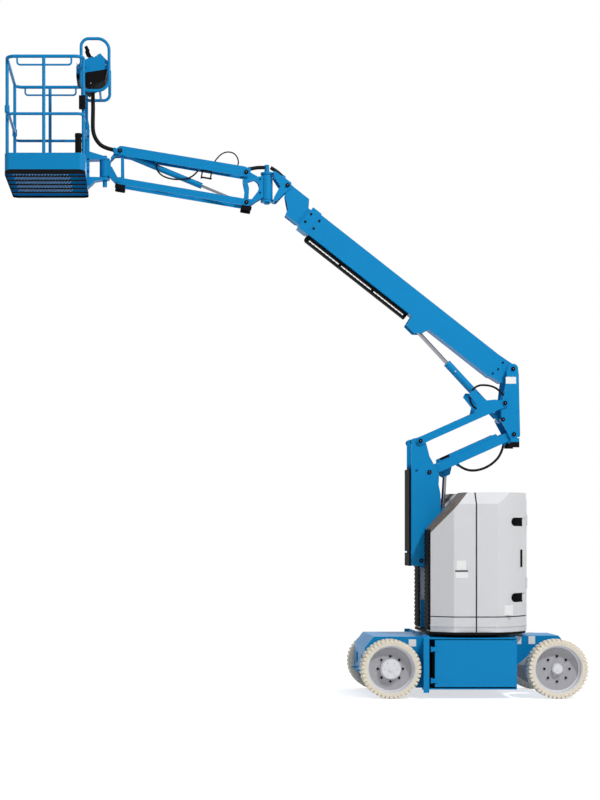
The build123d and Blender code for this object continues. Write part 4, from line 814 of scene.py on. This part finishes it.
# hose unions at both ends of the cylinder barrels: share of the length from an end, side,
# and whether the barrel falls along x; the jib's are on the side away from the jib hose
unionLook = dict(radius=0.009, top=0.009, height=0.012, sides=6)
fittingTable = {
    "riser_barrel": (0.18, -1, False),
    "lift_barrel": (0.18, -1, True),
    "jib_barrel": (0.34, 1, True),
}
for barrel, (share, side, falls) in fittingTable.items():
    low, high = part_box(barrel)
    spots = []
    for part in (share, 1 - share):
        x = low.x + (high.x - low.x) * part
        z = high.z - (high.z - low.z) * part if falls else low.z + (high.z - low.z) * part
        spots.append((Vector((x, faceAt(barrel, x, z, side), z)), Vector((0, side, 0))))
    grow(f"fittings_{barrel}", "heads", barrel, None, "zincSteel", source=pointCloud(spots), **unionLook)

# bolt heads on both sides of several nodes: node, body, places (x, z), radius
boltHeight = 0.6  # of the radius
boltRows = {
    "boom_tail": ("outer_boom", "outer_boom", [(1.951, 3.105), (2.002, 3.144), (2.048, 3.208)], 0.011),
    "pivot_housing": ("jib_pivot", "jib_pivot", [(-0.300, 4.990), (-0.300, 4.860)], 0.010),
    "mount": ("platform_mount", "platform", [(-1.968, 5.060), (-1.968, 5.180), (-1.968, 5.400)], 0.009),
    "boom_tip": ("outer_boom", "outer_boom",
                 [(0.192, 4.644), (0.272, 4.579), (0.135, 4.571), (0.217, 4.507)], 0.013),
    "cheek": ("turntable_frame", "turntable", [(1.420, 0.700), (1.560, 0.700), (1.900, 0.700)], 0.011),
}
for name, (node, body, places, radius) in boltRows.items():
    bolts = [(Vector((x, faceAt(node, x, z, side), z)), Vector((0, side, 0)))
             for side in (-1, 1) for x, z in places]
    grow(f"bolts_{name}", "heads", body, "black_steel", "blackPrimer", source=pointCloud(bolts),
         radius=radius, top=radius * headTaper, height=radius * boltHeight, sides=6)
print("fittings")

# studio
studio = dict(focal=76.8, shift=(0.2, 0.16), position=(-1.465, -16.6, 1.607),
              floor=18.0, ambient=0.33, lift=0.65)

camera = bpy.data.objects.new("camera", bpy.data.cameras.new("camera"))
camera.data.lens = studio["focal"]
camera.data.sensor_width = 36.0
camera.data.sensor_fit = "AUTO"
camera.data.shift_x, camera.data.shift_y = studio["shift"]
camera.data.clip_end = 200.0
camera.location = studio["position"]
camera.rotation_euler = (math.radians(90), 0, 0)
bpy.context.collection.objects.link(camera)
bpy.context.scene.camera = camera
bpy.context.scene.view_settings.view_transform = "Standard"


def seenDirectly(tree):  # 1 for rays from the camera, in mirrors and through glass
    rays = addNode(tree, "ShaderNodeLightPath", (-900, 0))
    first = addNode(tree, "ShaderNodeMath", (-700, 0), {"operation": "MAXIMUM"}, {
        0: (rays, "Is Camera Ray"), 1: (rays, "Is Glossy Ray")})
    return addNode(tree, "ShaderNodeMath", (-500, 0), {"operation": "MAXIMUM"}, {
        0: (first, "Value"), 1: (rays, "Is Transmission Ray")})


# matt paper floor: pale, with a little of its own light for the camera so that it meets the white wall
floorPaper = bpy.data.materials.new("floorPaper")
floorPaper.use_nodes = True
tree = floorPaper.node_tree
tree.nodes.clear()
matt = addNode(tree, "ShaderNodeBsdfDiffuse", (-200, 100), {"Color": colour("#f2f2f2")})
strength = addNode(tree, "ShaderNodeMath", (-300, -100), {"operation": "MULTIPLY", 1: studio["lift"]}, {
    0: (seenDirectly(tree), "Value")})
glow = addNode(tree, "ShaderNodeEmission", (-100, -100), {"Color": colour("#ffffff")}, {
    "Strength": (strength, "Value")})
both = addNode(tree, "ShaderNodeAddShader", (200, 0), links={0: (matt, "BSDF"), 1: (glow, "Emission")})
addNode(tree, "ShaderNodeOutputMaterial", (400, 0), links={"Surface": (both, "Shader")})

floorMesh = bpy.data.meshes.new("floor")
reach = studio["floor"] / 2
level = -0.001  # just below the tyres
corners = [(-reach, -reach, level), (reach, -reach, level), (reach, reach, level), (-reach, reach, level)]
floorMesh.from_pydata(corners, [], [(0, 1, 2, 3)])
floor = bpy.data.objects.new("floor", floorMesh)
bpy.context.collection.objects.link(floor)
floorMesh.materials.append(floorPaper)

world = bpy.data.worlds.new("world")
bpy.context.scene.world = world
world.use_nodes = True
tree = world.node_tree
tree.nodes.clear()
bright = addNode(tree, "ShaderNodeMath", (-200, 0), {"operation": "MAXIMUM", 1: studio["ambient"]}, {
    0: (seenDirectly(tree), "Value")})
sky = addNode(tree, "ShaderNodeBackground", (0, 0), {"Color": (1.0, 1.0, 1.0, 1.0)}, {
    "Strength": (bright, "Value")})
addNode(tree, "ShaderNodeOutputWorld", (200, 0), links={"Surface": (sky, "Background")})

lamps = {
    "keyLight": dict(place=(6.0, -9.0, 12.0), aim=(0.8, 0.0, 2.0), size=1.0, power=1190.0),
    "fillLight": dict(place=(-8.0, -10.0, 6.0), aim=(0.0, 0.0, 3.0), size=6.0, power=90.0),
    "backLight": dict(place=(1.0, 9.0, 9.0), aim=(0.0, 0.0, 3.0), size=6.0, power=200.0),
}
for name, lamp in lamps.items():
    light = bpy.data.objects.new(name, bpy.data.lights.new(name, "AREA"))
    light.data.size = lamp["size"]
    light.data.energy = lamp["power"]
    light.location = lamp["place"]
    light.rotation_euler = (Vector(lamp["aim"]) - Vector(lamp["place"])).to_track_quat("-Z", "Y").to_euler()
    bpy.context.collection.objects.link(light)
print("studio")
